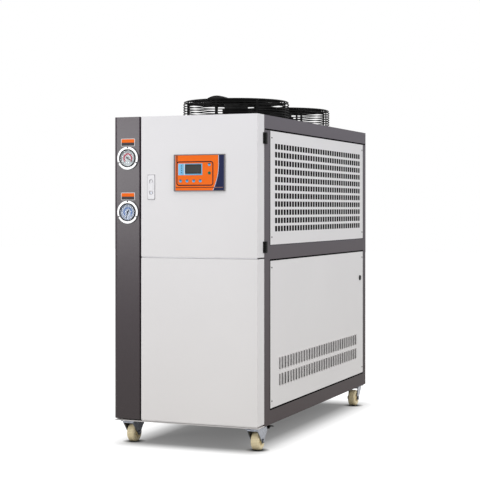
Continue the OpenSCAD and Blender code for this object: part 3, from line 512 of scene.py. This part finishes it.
def clear_glass(colours):
    """Window glass: mostly see-through, with a smear of dust."""
    finish = Finish("gauge glass")
    smear = finish.grain(90.0, 3.0)
    finish.surface(
        {
            "Base Color": (0.05, 0.06, 0.07, 1.0),
            "Roughness": 0.02 + 0.06 * smear,
            "Alpha": 0.05 + 0.05 * smear,
            "IOR": 1.5,
        }
    )
    return finish.material


def moulded(name, colour, grain_scale, rough, level=0.5):
    """Moulded plastic with a fine spark-eroded grain."""
    finish = Finish(name)
    fine = finish.grain(grain_scale, 2.0)
    flow = finish.grain(14.0, 3.0)
    blend = finish.mix(flow * 0.6 + fine * 0.4, shade(colour, 0.88), shade(colour, 1.1))
    finish.coat(blend, rough + 0.12 * fine, level)
    finish.relief(fine, 0.12, 0.25 * MM)
    return finish.material


def black_plastic(colours):
    return moulded("black moulding", tone(14, 14, 15), 800.0, 0.5, 0.2)


def seal_rubber(colours):
    return moulded("seal rubber", tone(5, 5, 5), 900.0, 0.8, 0.02)


def latch_grey(colours):
    return moulded("latch enamel", tone(228, 227, 230), 600.0, 0.34)


def gasket_grey(colours):
    # The grey of the rim round the latch, which stands in for the shadow of its gap.
    return moulded("latch shadow rim", tone(150, 148, 152), 900.0, 0.7)


def bezel_grey(colours):
    return moulded("bezel moulding", tone(110, 108, 110), 700.0, 0.5)


def motor_grey(colours):
    return moulded("motor casting", tone(24, 24, 25), 260.0, 0.6)


def wheel_cream(colours):
    """Cream nylon, with a ribbed tread whose grooves are darkened as painted shade, scuffed and darker where
    it meets the floor.
    """
    finish = Finish("cream nylon")
    front, rear = middle("caster_wheel_front_left"), middle("caster_wheel_rear_left")
    along = finish.axis("Y") - (front.y + (rear.y - front.y) * (finish.axis("Y") > 0.0))
    up = finish.axis("Z") - front.z
    tread = (along * along + up * up).root() > front.z - 5 * MM
    groove = (abs((up.turn(along) * (36 / math.tau)).share() - 0.5) > 0.36) * tread
    scuff = finish.grain(70.0, 5.0)
    flow = finish.grain(22.0, 3.0)
    low = 1.0 - (finish.axis("Z") * (1 / (12 * MM))).below(1.0)
    scuff_towards_floor = (low * 0.7 + 0.3) * scuff
    fresh = finish.mix(flow, shade(colours.wheel_cream, 0.92), shade(colours.wheel_cream, 1.08))
    # Painted shade in the tread's grooves, and scuffs that darken more towards the floor.
    scuffed_and_groove_shaded = finish.mix(scuff_towards_floor * 0.4 + groove * 0.22, fresh, tone(132, 112, 78))
    finish.coat(scuffed_and_groove_shaded, 0.4 + 0.25 * scuff)
    finish.relief(scuff * 0.3 - groove, 0.3, 0.6 * MM)
    return finish.material


def brass_fitting(colours):
    return plated("brass fitting", tone(200, 166, 92), 0.28, 400.0)


def controller_plane(finish):
    """Millimetres right of and above the controller's middle."""
    centre = middle("controller_face")
    return (finish.axis("X") - centre.x) * 1000.0, (finish.axis("Z") - centre.z) * 1000.0


def rounded_edge(right, up, box, radius):
    """Distance from the edge of a rounded rectangle, below zero inside it."""
    x0, x1, z0, z1 = box
    across = abs(right - (x0 + x1) / 2) - ((x1 - x0) / 2 - radius)
    rise = abs(up - (z0 + z1) / 2) - ((z1 - z0) / 2 - radius)
    outside = across.above(0.0) * across.above(0.0) + rise.above(0.0) * rise.above(0.0)
    return outside.root() + across.above(rise).below(0.0) - radius


def face_orange(colours):
    """Printed controller foil: orange field, grey strip, navy edge on a curve, and dark outlines."""
    finish = Finish("controller foil")
    right, up = controller_plane(finish)
    drop = (28.0 - up).above(0.0) / 91.0
    bound = right - (75.0 - 22.0 * drop * drop)
    navy = bound > 0.0
    rim = abs(bound) < 1.0
    outline = abs(rounded_edge(right, up, (-86.0, 53.0, -44.0, 39.0), 8.0)) < 1.9
    stem = (abs(right + 86.0) < 1.9) * (up > 30.0)
    strip = right < -91.5
    foot = (abs(up + 52.0) < 1.2) * (abs(right) < 91.0)
    fine = finish.grain(1100.0, 2.0)
    wash = finish.grain(24.0, 3.0)
    field = finish.mix(wash, shade(colours.panel_orange, 0.94), shade(colours.panel_orange, 1.08))
    split = finish.mix(navy, field, colours.panel_navy)
    lined = finish.mix(rim, split, tone(170, 200, 226))
    dark = (outline * (1.0 - navy)).above(foot * (1.0 - navy)).above(stem)
    inked = finish.mix(dark, lined, colours.panel_line)
    tan = finish.mix(foot * navy, inked, tone(146, 110, 96))
    finish.coat(finish.mix(strip, tan, tone(134, 130, 134)), 0.58 + 0.1 * fine, 0.08)
    finish.relief(fine, 0.06, 0.2 * MM)
    return finish.material


def screen_blue(colours):
    """Printed surround of the screen, paler towards its left end, with a pale bar beside the window."""
    finish = Finish("screen surround")
    right = controller_plane(finish)[0]
    fade = ((right + 80.0) / 30.0).below(1.0).above(0.0)
    fine = finish.grain(900.0, 2.0)
    field = finish.mix(fade, shade(colours.screen_blue, 1.2), shade(colours.screen_blue, 0.85))
    bar = abs(right + 57.2) < 1.8
    finish.coat(finish.mix(bar, field, tone(206, 218, 230)), 0.5 + 0.1 * fine, 0.1)
    return finish.material


def screen_dark(colours):
    """Matt window with a darker edge and the faint raster of its dots."""
    finish = Finish("matt window")
    right, up = controller_plane(finish)
    edge = rounded_edge(right, up, (-54.0, 8.0, -3.0, 30.0), 1.0) > -3.5
    raster = (abs((right * 1.2).share() - 0.5) < 0.35) * (abs((up * 1.2).share() - 0.5) < 0.35)
    fine = finish.grain(500.0, 2.0)
    glass = finish.mix(raster * 0.12 + fine * 0.1, colours.screen_dark, tone(76, 84, 80))
    finish.coat(finish.mix(edge, glass, shade(colours.screen_dark, 0.45)), 0.5 + 0.1 * fine, 0.2)
    return finish.material


def key_blue(colours):
    """Domed foil keys with dark heads, the lower right one green."""
    finish = Finish("foil keys")
    right, up = controller_plane(finish)
    green = (right > 25.0) * (up < 14.0)
    head = (abs(up + 24.6) < 2.4).above(up > 30.6)
    fine = finish.grain(900.0, 2.0)
    blue = finish.mix(head, colours.key_blue, tone(36, 92, 112))
    finish.coat(finish.mix(green, blue, colours.key_green), 0.5 + 0.1 * fine, 0.1)
    finish.relief(fine, 0.05, 0.2 * MM)
    return finish.material


def label_print(colours):
    """Bare two-tone plate: an orange band over a dark one, inside a pale border."""
    finish = Finish("gauge label print")
    across, rise = gauge_plane(finish)[1:3]
    sizes = bpy.context.scene.chiller_sizes
    half_w = sizes.label_width / MM / 2
    height = sizes.label_height / MM
    top = rise - (GAUGE_RADIUS + LABEL_GAP) / MM
    border = (abs(across) > half_w - 2.4).above(abs(top - height / 2) > height / 2 - 2.2)
    fine = finish.grain(800.0, 2.0)
    bands = finish.mix(top > height * 0.48, tone(74, 70, 74), colours.panel_orange)
    finish.coat(finish.mix(border, bands, tone(214, 212, 212)), 0.6 + 0.1 * fine, 0.08)
    return finish.material


SLOT_FINISHES = {
    make.__name__: make
    for make in (
        white_paint,
        grille_paint,
        louvre_paint,
        grey_paint,
        base_paint,
        pillar_paint,
        black_paint,
        zinc_plate,
        coil_fins,
        gauge_ring,
        dial_white,
        needle_black,
        clear_glass,
        black_plastic,
        seal_rubber,
        brass_fitting,
        latch_grey,
        gasket_grey,
        bezel_grey,
        face_orange,
        screen_blue,
        key_blue,
        wheel_cream,
        motor_grey,
        label_print,
        screen_dark,
    )
}
NODE_FINISHES = {
    "base_frame": "base_paint",
    "front_pillar": "pillar_paint",
    "right_grille_panel": "grille_paint",
    "left_grille_panel": "grille_paint",
    "right_louvre_panel": "louvre_paint",
    "left_louvre_panel": "louvre_paint",
}
made_finishes = {}


def finish_named(slot):
    """The finish of a slot, made once."""
    if slot not in made_finishes:
        made_finishes[slot] = SLOT_FINISHES[slot](bpy.context.scene.chiller_colours)
    return made_finishes[slot]


def start_clean():
    """Leaves edit mode and deselects everything."""
    if bpy.context.object and bpy.context.object.mode != "OBJECT":
        bpy.ops.object.mode_set(mode="OBJECT")
    bpy.ops.object.select_all(action="DESELECT")


def choose(*pieces):
    """Selects these pieces alone, the last one active."""
    start_clean()
    for piece in pieces:
        piece.select_set(True)
    bpy.context.view_layer.objects.active = pieces[-1]


def settle(piece):
    """Moves a piece's place into its mesh."""
    choose(piece)
    bpy.ops.object.transform_apply(location=True, rotation=True, scale=True)
    return piece


def start_block(name, size, centre):
    """A box primitive of that size at that place."""
    start_clean()
    bpy.ops.mesh.primitive_cube_add(size=1.0, location=centre, scale=size)
    piece = bpy.context.object
    piece.name = name
    return settle(piece)


def start_disc(name, radius, depth, sides, foot=(0, 0, 0)):
    """A cylinder primitive that stands on a point, along Z."""
    start_clean()
    place = Vector(foot) + Vector((0, 0, depth / 2))
    bpy.ops.mesh.primitive_cylinder_add(vertices=sides, radius=radius, depth=depth, location=place)
    piece = bpy.context.object
    piece.name = name
    return settle(piece)


def start_edit(piece, kind):
    """Goes to edit mode with nothing selected, and gives the shape to select faces or edges in."""
    choose(piece)
    bpy.ops.object.mode_set(mode="EDIT")
    bpy.ops.mesh.select_mode(type=kind)
    bpy.ops.mesh.select_all(action="DESELECT")
    return bmesh.from_edit_mesh(piece.data)


def inset_face(piece, outward, *steps):
    """Insets the face that looks that way, once for each step's thickness and depth."""
    for face in start_edit(piece, "FACE").faces:
        face.select_set(face.normal.dot(Vector(outward)) > 0.9)
    bmesh.update_edit_mesh(piece.data)
    for thickness, depth in steps:
        bpy.ops.mesh.inset(thickness=thickness, depth=depth)
    bpy.ops.object.mode_set(mode="OBJECT")


def soften(piece, width):
    """Rounds the piece's sharp edges and applies it."""
    choose(piece)
    bevel = piece.modifiers.new("soft edges", "BEVEL")
    bevel.width = width
    bevel.segments = 2
    bevel.limit_method = "ANGLE"
    bevel.angle_limit = math.radians(40)
    bpy.ops.object.modifier_apply(modifier=bevel.name)
    bpy.ops.object.shade_smooth_by_angle(angle=math.radians(35))


def cut_out(piece, tool):
    """Takes the tool's shape out of the piece and removes the tool."""
    choose(piece)
    cut = piece.modifiers.new("cut", "BOOLEAN")
    cut.operation = "DIFFERENCE"
    cut.solver = "EXACT"
    cut.object = tool
    bpy.ops.object.modifier_apply(modifier=cut.name)
    bpy.data.objects.remove(tool)


def model_screw(radius):
    """A pan head screw with a cross recess, head up, its underside at the origin."""
    height = radius * 0.62
    screw = start_disc("screw", radius, height, 20)
    inset_face(screw, UP, (radius * 0.16, radius * 0.02), (radius * 0.24, radius * 0.08))
    for length, width in ((1.1, 0.24), (0.24, 1.1)):
        size = (length * radius, width * radius, height)
        cut_out(screw, start_block("recess", size, (0, 0, height * 1.05)))
    choose(screw)
    bpy.ops.object.shade_smooth_by_angle(angle=math.radians(40))
    return screw


def model_bolt(radius):
    """A hexagon head on a washer, head up, its underside at the origin."""
    bolt = start_disc("bolt", radius * 1.5, radius * 0.22, 24)
    head = start_disc("head", radius, radius * 0.75, 6, (0, 0, radius * 0.22))
    inset_face(head, UP, (radius * 0.14, radius * 0.06))
    choose(head, bolt)
    bpy.ops.object.join()
    bpy.ops.object.shade_smooth_by_angle(angle=math.radians(30))
    return bolt


def joined(parts, name):
    """One piece made of several."""
    choose(*parts)
    bpy.ops.object.join()
    piece = bpy.context.object
    piece.name = name
    piece.data.name = name
    return piece


def copies(template, places, name):
    """One piece made of the template copied to each place, its Z along the outward direction."""
    made = []
    for point, outward in places:
        choose(template)
        bpy.ops.object.duplicate(linked=False)
        copy = bpy.context.object
        copy.rotation_mode = "QUATERNION"
        copy.rotation_quaternion = Vector(outward).to_track_quat("Z", "Y")
        copy.location = point
        settle(copy)
        made.append(copy)
    bpy.data.objects.remove(template)
    return joined(made, name)


def dress(piece, slot, body):
    """Gives a piece its finish and the body it rides on."""
    piece.data.materials.clear()
    piece.data.materials.append(finish_named(slot))
    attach(piece, body)
    return piece


class CHILLER_OT_finishes(bpy.types.Operator):
    """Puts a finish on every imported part, by its slot in the record or by its own name"""

    bl_idname = "chiller.finishes"
    bl_label = "Finishes"

    def execute(self, context):
        for entry in frame["record"]["subparts"]:
            node = frame["nodes"][entry["node"]]
            slot = NODE_FINISHES.get(entry["node"], entry["material_slot"])
            for holder in node.material_slots:
                holder.link = "OBJECT"
                holder.material = finish_named(slot)
        return {"FINISHED"}


def panel_screw_places(panel, outward):
    """Screw places near the corners of a side or rear panel."""
    low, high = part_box(panel)
    side_in, upright_in = PANEL_SCREW_INSET
    places = []
    for z in (low.z + upright_in, high.z - upright_in):
        if abs(outward[0]) > 0.5:
            x = SIDE_FACE * outward[0]
            places += [((x, y, z), outward) for y in (low.y + side_in, high.y - side_in)]
        else:
            y = high.y
            places += [((x, y, z), outward) for x in (low.x + side_in, high.x - side_in)]
    return places


class CHILLER_OT_panel_screws(bpy.types.Operator):
    """Screws that hold the side and rear panels to the frame"""

    bl_idname = "chiller.panel_screws"
    bl_label = "Panel screws"

    def execute(self, context):
        radius = context.scene.chiller_sizes.screw_radius
        sides = {
            "right": (("right_grille_panel", "right_louvre_panel"), RIGHT),
            "left": (("left_grille_panel", "left_louvre_panel"), LEFT),
            "rear": (("rear_upper_panel", "rear_lower_panel"), REAR),
        }
        for side, (panels, outward) in sides.items():
            places = [place for panel in panels for place in panel_screw_places(panel, outward)]
            piece = copies(model_screw(radius), places, f"panel_screws_{side}")
            dress(piece, "needle_black", "cabinet")
        return {"FINISHED"}


def shadow_seal(panel, axis, place, reach, foot, head):
    """A black seal in the gap round a panel, painted shadow for that gap, across that axis at that place,
    open from foot to head.
    """
    low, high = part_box(panel)
    centre, size = (low + high) / 2, high - low
    centre[axis] = place
    outer = size + Vector((reach, reach, reach)) * 2
    outer[axis] = SEAL_DEPTH
    seal = start_block("seal", outer, centre)
    hole = size - Vector((2, 2, 0)) * SEAL_OVERLAP
    hole[axis], hole.z = 3 * SEAL_DEPTH, head - foot
    cut_out(seal, start_block("hole", hole, (centre.x, centre.y, (foot + head) / 2)))
    soften(seal, SEAL_ROUNDING)
    return seal


class CHILLER_OT_panel_seals(bpy.types.Operator):
    """Black rubber strips as painted shadow in the gaps round the side and rear panels, and under the roof's
    skirt
    """

    bl_idname = "chiller.panel_seals"
    bl_label = "Panel seals"

    def execute(self, context):
        reach = context.scene.chiller_sizes.seal_width
        lip = context.scene.chiller_sizes.seal_lip
        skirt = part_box("right_grille_panel")[1].z + SKIRT_STRIP_RISE
        for side, outward in (("right", 1), ("left", -1)):
            place = outward * (SIDE_FACE - SEAL_INSET)
            shadow_seals = []
            for panel, foot_lip in ((f"{side}_grille_panel", -2 * reach), (f"{side}_louvre_panel", lip)):
                low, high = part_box(panel)
                shadow_seals.append(shadow_seal(panel, 0, place, reach, low.z + foot_lip, high.z - lip))
            low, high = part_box("roof_cover")
            # Painted shadow: a black strip under the roof's skirt.
            run = (SEAL_DEPTH, high.y - low.y - 2 * SKIRT_STRIP_INSET, SKIRT_STRIP_HEIGHT)
            strip = start_block("strip", run, (place, (low.y + high.y) / 2, skirt))
            soften(strip, SEAL_ROUNDING)
            self.dress_side(shadow_seals + [strip], side)
        shadow_seals = []
        for panel in ("rear_upper_panel", "rear_lower_panel"):
            low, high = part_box(panel)
            place = high.y - SEAL_INSET
            foot, head = low.z + SEAL_OVERLAP, high.z - SEAL_OVERLAP
            shadow_seals.append(shadow_seal(panel, 1, place, reach, foot, head))
        self.dress_side(shadow_seals, "rear")
        return {"FINISHED"}

    def dress_side(self, shadow_seals, side):
        dress(joined(shadow_seals, f"panel_seals_{side}"), "seal_rubber", "cabinet")


class CHILLER_OT_hinge_screws(bpy.types.Operator):
    """Two screws in each hinge leaf"""

    bl_idname = "chiller.hinge_screws"
    bl_label = "Hinge screws"

    def execute(self, context):
        radius = context.scene.chiller_sizes.hinge_screw_radius
        low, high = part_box("hinge_post_leaves")
        door_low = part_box("hinge_door_leaves")[0]
        half = HINGE_LEAF_HEIGHT / 2
        spread = (-HINGE_SCREW_SPREAD, HINGE_SCREW_SPREAD)
        heights = [z + dz for z in (low.z + half, high.z - half) for dz in spread]
        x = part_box("front_door")[1].x + HINGE_LEAF_THICKNESS
        leaves = {
            "post": (high.y - POST_SCREW_INSET, "cabinet"),
            "door": (door_low.y + DOOR_SCREW_INSET, "door"),
        }
        for leaf, (y, body) in leaves.items():
            places = [((x, y, z), RIGHT) for z in heights]
            piece = copies(model_screw(radius), places, f"hinge_screws_{leaf}")
            dress(piece, "black_paint", body)
        return {"FINISHED"}


class CHILLER_OT_gauge_screws(bpy.types.Operator):
    """Three screws in each gauge flange"""

    bl_idname = "chiller.gauge_screws"
    bl_label = "Gauge screws"

    def execute(self, context):
        radius = context.scene.chiller_sizes.gauge_screw_radius
        reach = GAUGE_RADIUS - GAUGE_SCREW_INSET
        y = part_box("front_pillar")[0].y
        places = []
        for z in GAUGE_HEIGHTS:
            for angle in GAUGE_SCREW_ANGLES:
                turn = math.radians(angle)
                point = (GAUGE_X + reach * math.cos(turn), y, z + reach * math.sin(turn))
                places.append((point, FRONT))
        dress(copies(model_screw(radius), places, "gauge_screws"), "needle_black", "cabinet")
        return {"FINISHED"}


class CHILLER_OT_gauge_labels(bpy.types.Operator):
    """Bare printed plates above the gauges"""

    bl_idname = "chiller.gauge_labels"
    bl_label = "Gauge labels"

    def execute(self, context):
        sizes = context.scene.chiller_sizes
        above = GAUGE_RADIUS + LABEL_GAP + sizes.label_height / 2
        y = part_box("front_pillar")[0].y - sizes.label_thickness / 2
        plates = []
        for z in GAUGE_HEIGHTS:
            size = (sizes.label_width, sizes.label_thickness, sizes.label_height)
            plate = start_block("label", size, (GAUGE_X, y, z + above))
            for edge in start_edit(plate, "EDGE").edges:
                ends = [v.co for v in edge.verts]
                edge.select_set(abs(ends[0].y - ends[1].y) > sizes.label_thickness / 2)
            bmesh.update_edit_mesh(plate.data)
            bpy.ops.mesh.bevel(offset=3 * MM, segments=4, affect="EDGES")
            inset_face(plate, FRONT, (0.8 * MM, 0.15 * MM))
            plates.append(plate)
        dress(joined(plates, "gauge_labels"), "label_print", "cabinet")
        return {"FINISHED"}


class CHILLER_OT_dial_numbers(bpy.types.Operator):
    """Numbers round the two dials"""

    bl_idname = "chiller.dial_numbers"
    bl_label = "Dial numbers"

    def execute(self, context):
        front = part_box("gauge_dials")[0].y - 0.15 * MM
        made = []
        for z in GAUGE_HEIGHTS:
            for step in range(7):
                turn = math.radians(-135 + 45 * step)
                start_clean()
                bpy.ops.object.text_add()
                word = bpy.context.object
                word.data.body = str(2 * step)
                word.data.size = NUMBER_HEIGHT
                word.data.align_x = "CENTER"
                word.data.align_y = "CENTER"
                bpy.ops.object.convert(target="MESH")
                word = bpy.context.object
                word.rotation_euler = (math.radians(90), 0, 0)
                across, rise = NUMBER_REACH * math.sin(turn), NUMBER_REACH * math.cos(turn)
                word.location = (GAUGE_X + across, front, z + rise)
                made.append(settle(word))
        dress(joined(made, "dial_numbers"), "needle_black", "cabinet")
        return {"FINISHED"}


class CHILLER_OT_controller_window(bpy.types.Operator):
    """Smoked window of the controller's screen and its row of lamps"""

    bl_idname = "chiller.controller_window"
    bl_label = "Controller window"

    def execute(self, context):
        low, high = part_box("controller_screen")
        front = low.y
        size = (62 * MM, 1.2 * MM, 33 * MM)
        centre = (high.x - 4.75 * MM - size[0] / 2, front, (low.z + high.z) / 2 + 1 * MM)
        window = start_block("controller_window", size, centre)
        inset_face(window, FRONT, (1.4 * MM, -0.3 * MM))
        soften(window, 0.25 * MM)
        dress(window, "screen_dark", "door")
        lamp = start_disc("lamp", 1.7 * MM, 0.8 * MM, 16)
        inset_face(lamp, UP, (0.6 * MM, 0.35 * MM))
        x = low.x + 13 * MM
        places = [((x, front, low.z + (9 + 8 * step) * MM), FRONT) for step in range(4)]
        lamps = copies(lamp, places, "controller_lamps")
        dress(lamps, "screen_dark", "door")
        return {"FINISHED"}


class CHILLER_OT_latch_keyhole(bpy.types.Operator):
    """Lock barrel with its key slot in the flush latch"""

    bl_idname = "chiller.latch_keyhole"
    bl_label = "Latch keyhole"

    def execute(self, context):
        centre, front = middle("door_latch"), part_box("door_latch")[0].y
        barrel = start_disc("barrel", 3.6 * MM, 1.0 * MM, 28)
        inset_face(barrel, UP, (0.7 * MM, -0.3 * MM))
        cut_out(barrel, start_block("slot", (1.3 * MM, 4.4 * MM, 3 * MM), (0, 0, 1.6 * MM)))
        place = (centre.x, front + 2.3 * MM, centre.z - 21 * MM)
        dress(copies(barrel, [(place, FRONT)], "latch_barrel"), "zinc_plate", "door")
        return {"FINISHED"}


class CHILLER_OT_latch_gasket(bpy.types.Operator):
    """Grey rim round the flush latch, a painted shadow of the gap round it"""

    bl_idname = "chiller.latch_gasket"
    bl_label = "Latch gasket"

    def execute(self, context):
        low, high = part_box("door_latch")
        centre = (low + high) / 2
        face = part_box("front_door")[0].y
        width, depth = 1.8 * MM, 1.6 * MM
        size = (high.x - low.x + 2 * width, depth, high.z - low.z + 2 * width)
        # Painted shadow: a grey rim in the gap round the latch.
        shadow_rim = start_block("latch_gasket", size, (centre.x, face, centre.z))
        hole = (high.x - low.x - 0.6 * MM, 4 * depth, high.z - low.z - 0.6 * MM)
        cut_out(shadow_rim, start_block("hole", hole, (centre.x, face, centre.z)))
        soften(shadow_rim, 0.4 * MM)
        dress(shadow_rim, "gasket_grey", "door")
        return {"FINISHED"}


class CHILLER_OT_door_seal(bpy.types.Operator):
    """Pale lips along the lower edges of the door and of the panel under it"""

    bl_idname = "chiller.door_seal"
    bl_label = "Door seal"

    def execute(self, context):
        drop = context.scene.chiller_sizes.seal_drop
        seal = self.lip_under("front_door", "door_seal", 4.2 * MM, drop)
        inset_face(seal, DOWN, (1.2 * MM, 0.3 * MM))
        soften(seal, LIP_ROUNDING)
        dress(seal, "latch_grey", "door")
        lip = self.lip_under("front_lower_panel", "sill_lip", 6.2 * MM, drop)
        soften(lip, LIP_ROUNDING)
        dress(lip, "white_paint", "cabinet")
        return {"FINISHED"}

    def lip_under(self, node, name, setback, drop):
        """A strip that hangs from a front sheet's lower edge, set back from its face."""
        low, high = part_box(node)
        size = (high.x - low.x - 2 * LIP_INSET, LIP_DEPTH, drop)
        return start_block(name, size, ((low.x + high.x) / 2, low.y + setback, low.z - drop / 2))


class CHILLER_OT_caster_bolts(bpy.types.Operator):
    """Four bolts in each caster plate"""

    bl_idname = "chiller.caster_bolts"
    bl_label = "Caster bolts"

    def execute(self, context):
        radius = context.scene.chiller_sizes.bolt_radius
        low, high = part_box("caster_plates")
        z = high.z - CASTER_PLATE_THICKNESS
        half_x, half_y = CASTER_PLATE_HALF
        reach_x, reach_y = CASTER_BOLT_REACH
        rows = [x + dx for x in (low.x + half_x, high.x - half_x) for dx in (-reach_x, reach_x)]
        columns = [y + dy for y in (low.y + half_y, high.y - half_y) for dy in (-reach_y, reach_y)]
        places = [((x, y, z), DOWN) for x in rows for y in columns]
        dress(copies(model_bolt(radius), places, "caster_bolts"), "zinc_plate", "cabinet")
        return {"FINISHED"}


class CHILLER_OT_guard_screws(bpy.types.Operator):
    """Screws that hold the fan rings to the roof"""

    bl_idname = "chiller.guard_screws"
    bl_label = "Guard screws"

    def execute(self, context):
        radius = context.scene.chiller_sizes.screw_radius
        for end in ("front", "rear"):
            low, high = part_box(f"fan_ring_{end}")
            reach = (high.x - low.x) / 2 - GUARD_SCREW_INSET
            places = []
            for step in range(8):
                turn = math.radians(22.5 + 45 * step)
                point = (reach * math.cos(turn), (low.y + high.y) / 2 + reach * math.sin(turn), high.z)
                places.append((point, UP))
            dress(copies(model_screw(radius), places, f"guard_screws_{end}"), "black_paint", "cabinet")
        return {"FINISHED"}


def add_lamp(name, place, aim, size, watts):
    """A soft box that faces a point."""
    start_clean()
    bpy.ops.object.light_add(type="AREA", location=place)
    lamp = bpy.context.object
    lamp.name = name
    lamp.data.shape = "RECTANGLE"
    lamp.data.size, lamp.data.size_y = size
    lamp.data.energy = watts
    lamp.rotation_mode = "QUATERNION"
    lamp.rotation_quaternion = (Vector(aim) - Vector(place)).to_track_quat("-Z", "Y")


class CHILLER_OT_stage(bpy.types.Operator):
    """Floor, world, soft boxes and camera"""

    bl_idname = "chiller.stage"
    bl_label = "Stage"

    def execute(self, context):
        scene = context.scene
        scene.view_settings.view_transform = "Standard"
        self.add_floor(scene)
        self.add_world(scene)
        for soft_box in SOFT_BOXES:
            add_lamp(*soft_box)
        self.add_camera(scene)
        return {"FINISHED"}

    def add_floor(self, scene):
        start_clean()
        bpy.ops.mesh.primitive_plane_add(size=40.0, location=(0, 0, 0))
        floor = bpy.context.object
        floor.name = "floor"
        finish = Finish("pale floor")
        broad = finish.grain(0.6, 2.0)
        colour = scene.chiller_colours.floor
        low, high = CAD_BOX
        foot = (low.x, high.x, low.y, high.y)
        away = rounded_edge(finish.axis("X"), finish.axis("Y"), foot, 0.05)
        # Painted shadow: the floor's glow drops to SHADOW_LEVEL under and round the cabinet.
        spread = ((away + SHADOW_INNER) / SHADOW_WIDTH).above(0.0).below(1.0)
        white, black = (1.0, 1.0, 1.0, 1.0), (0.0, 0.0, 0.0, 1.0)
        open_floor = finish.mix(spread, shade(white, SHADOW_LEVEL), white)
        # Painted shadow: black spots in the floor's glow and colour where the wheels stand.
        contact_shadow = self.contact_shadow(finish)
        level = finish.mix(contact_shadow, open_floor, black)
        bare = finish.mix(broad, shade(colour, 0.99), shade(colour, 1.01))
        rays = [finish.node("ShaderNodeLightPath", {}, {}, ray) for ray in SEEN_RAYS]
        seen = rays[0].above(rays[1]).above(rays[2])
        finish.surface(
            {
                "Base Color": finish.mix(contact_shadow, bare, shade(colour, 0.05)),
                "Roughness": 0.9,
                "Specular IOR Level": 0.0,
                "Emission Color": finish.mix(seen, black, level),
                "Emission Strength": 1.0,
            }
        )
        floor.data.materials.append(finish.material)

    def contact_shadow(self, finish):
        """How near a point of the floor is to the place where a wheel stands, for a painted shadow under each
        wheel.
        """
        near = 0.0 * finish.axis("X")
        for end in ("front_left", "front_right", "rear_left", "rear_right"):
            spot = middle(f"caster_wheel_{end}")
            across = (finish.axis("X") - spot.x) / CONTACT_RADIUS
            along = (finish.axis("Y") - spot.y) / CONTACT_RADIUS
            near = near.above(1.0 - (across * across + along * along).root())
        return (near * 1.6).below(1.0)

    def add_world(self, scene):
        world = bpy.data.worlds.new("studio")
        scene.world = world
        world.use_nodes = True
        tree = world.node_tree
        back = tree.nodes["Background"]
        back.inputs["Color"].default_value = (1.0, 1.0, 1.0, 1.0)
        path = tree.nodes.new("ShaderNodeLightPath")
        seen = None
        for ray in SEEN_RAYS:
            either = tree.nodes.new("ShaderNodeMath")
            either.operation = "MAXIMUM"
            tree.links.new(path.outputs[ray], either.inputs[0])
            if seen:
                tree.links.new(seen, either.inputs[1])
            seen = either.outputs[0]
        level = tree.nodes.new("ShaderNodeMapRange")
        level.inputs["To Min"].default_value = WORLD_LIGHT
        level.inputs["To Max"].default_value = 1.0
        tree.links.new(seen, level.inputs["Value"])
        tree.links.new(level.outputs["Result"], back.inputs["Strength"])

    def add_camera(self, scene):
        start_clean()
        bpy.ops.object.camera_add(location=CAMERA_PLACE, rotation=CAMERA_TURN)
        camera = bpy.context.object
        camera.data.lens = CAMERA_LENS
        camera.data.sensor_width = 36.0
        camera.data.shift_y = CAMERA_SHIFT
        camera.data.clip_end = 200.0
        scene.camera = camera


PIECES = (
    CHILLER_OT_stage,
    CHILLER_OT_finishes,
    CHILLER_OT_panel_screws,
    CHILLER_OT_panel_seals,
    CHILLER_OT_hinge_screws,
    CHILLER_OT_gauge_screws,
    CHILLER_OT_gauge_labels,
    CHILLER_OT_dial_numbers,
    CHILLER_OT_controller_window,
    CHILLER_OT_latch_keyhole,
    CHILLER_OT_latch_gasket,
    CHILLER_OT_door_seal,
    CHILLER_OT_caster_bolts,
    CHILLER_OT_guard_screws,
)


class CHILLER_PT_panel(bpy.types.Panel):
    """Lists the colours, the sizes and the pieces"""

    bl_idname = "CHILLER_PT_panel"
    bl_label = "Chiller"
    bl_space_type = "VIEW_3D"
    bl_region_type = "UI"
    bl_category = "Chiller"

    def draw(self, context):
        for group in (context.scene.chiller_colours, context.scene.chiller_sizes):
            for name in group.__annotations__:
                self.layout.prop(group, name)
        for piece in PIECES:
            self.layout.operator(piece.bl_idname)


CLASSES = (ChillerColours, ChillerSizes, *PIECES, CHILLER_PT_panel)


def register():
    for item in CLASSES:
        bpy.utils.register_class(item)
    bpy.types.Scene.chiller_colours = bpy.props.PointerProperty(type=ChillerColours)
    bpy.types.Scene.chiller_sizes = bpy.props.PointerProperty(type=ChillerSizes)


def unregister():
    del bpy.types.Scene.chiller_sizes
    del bpy.types.Scene.chiller_colours
    for item in reversed(CLASSES):
        bpy.utils.unregister_class(item)


def main():
    register()
    bpy.ops.chiller.stage()
    bpy.ops.chiller.finishes()
    bpy.ops.chiller.panel_screws()
    bpy.ops.chiller.panel_seals()
    bpy.ops.chiller.hinge_screws()
    bpy.ops.chiller.gauge_screws()
    bpy.ops.chiller.gauge_labels()
    bpy.ops.chiller.dial_numbers()
    bpy.ops.chiller.controller_window()
    bpy.ops.chiller.latch_keyhole()
    bpy.ops.chiller.latch_gasket()
    bpy.ops.chiller.door_seal()
    bpy.ops.chiller.caster_bolts()
    bpy.ops.chiller.guard_screws()


if __name__ == "__main__":
    main()
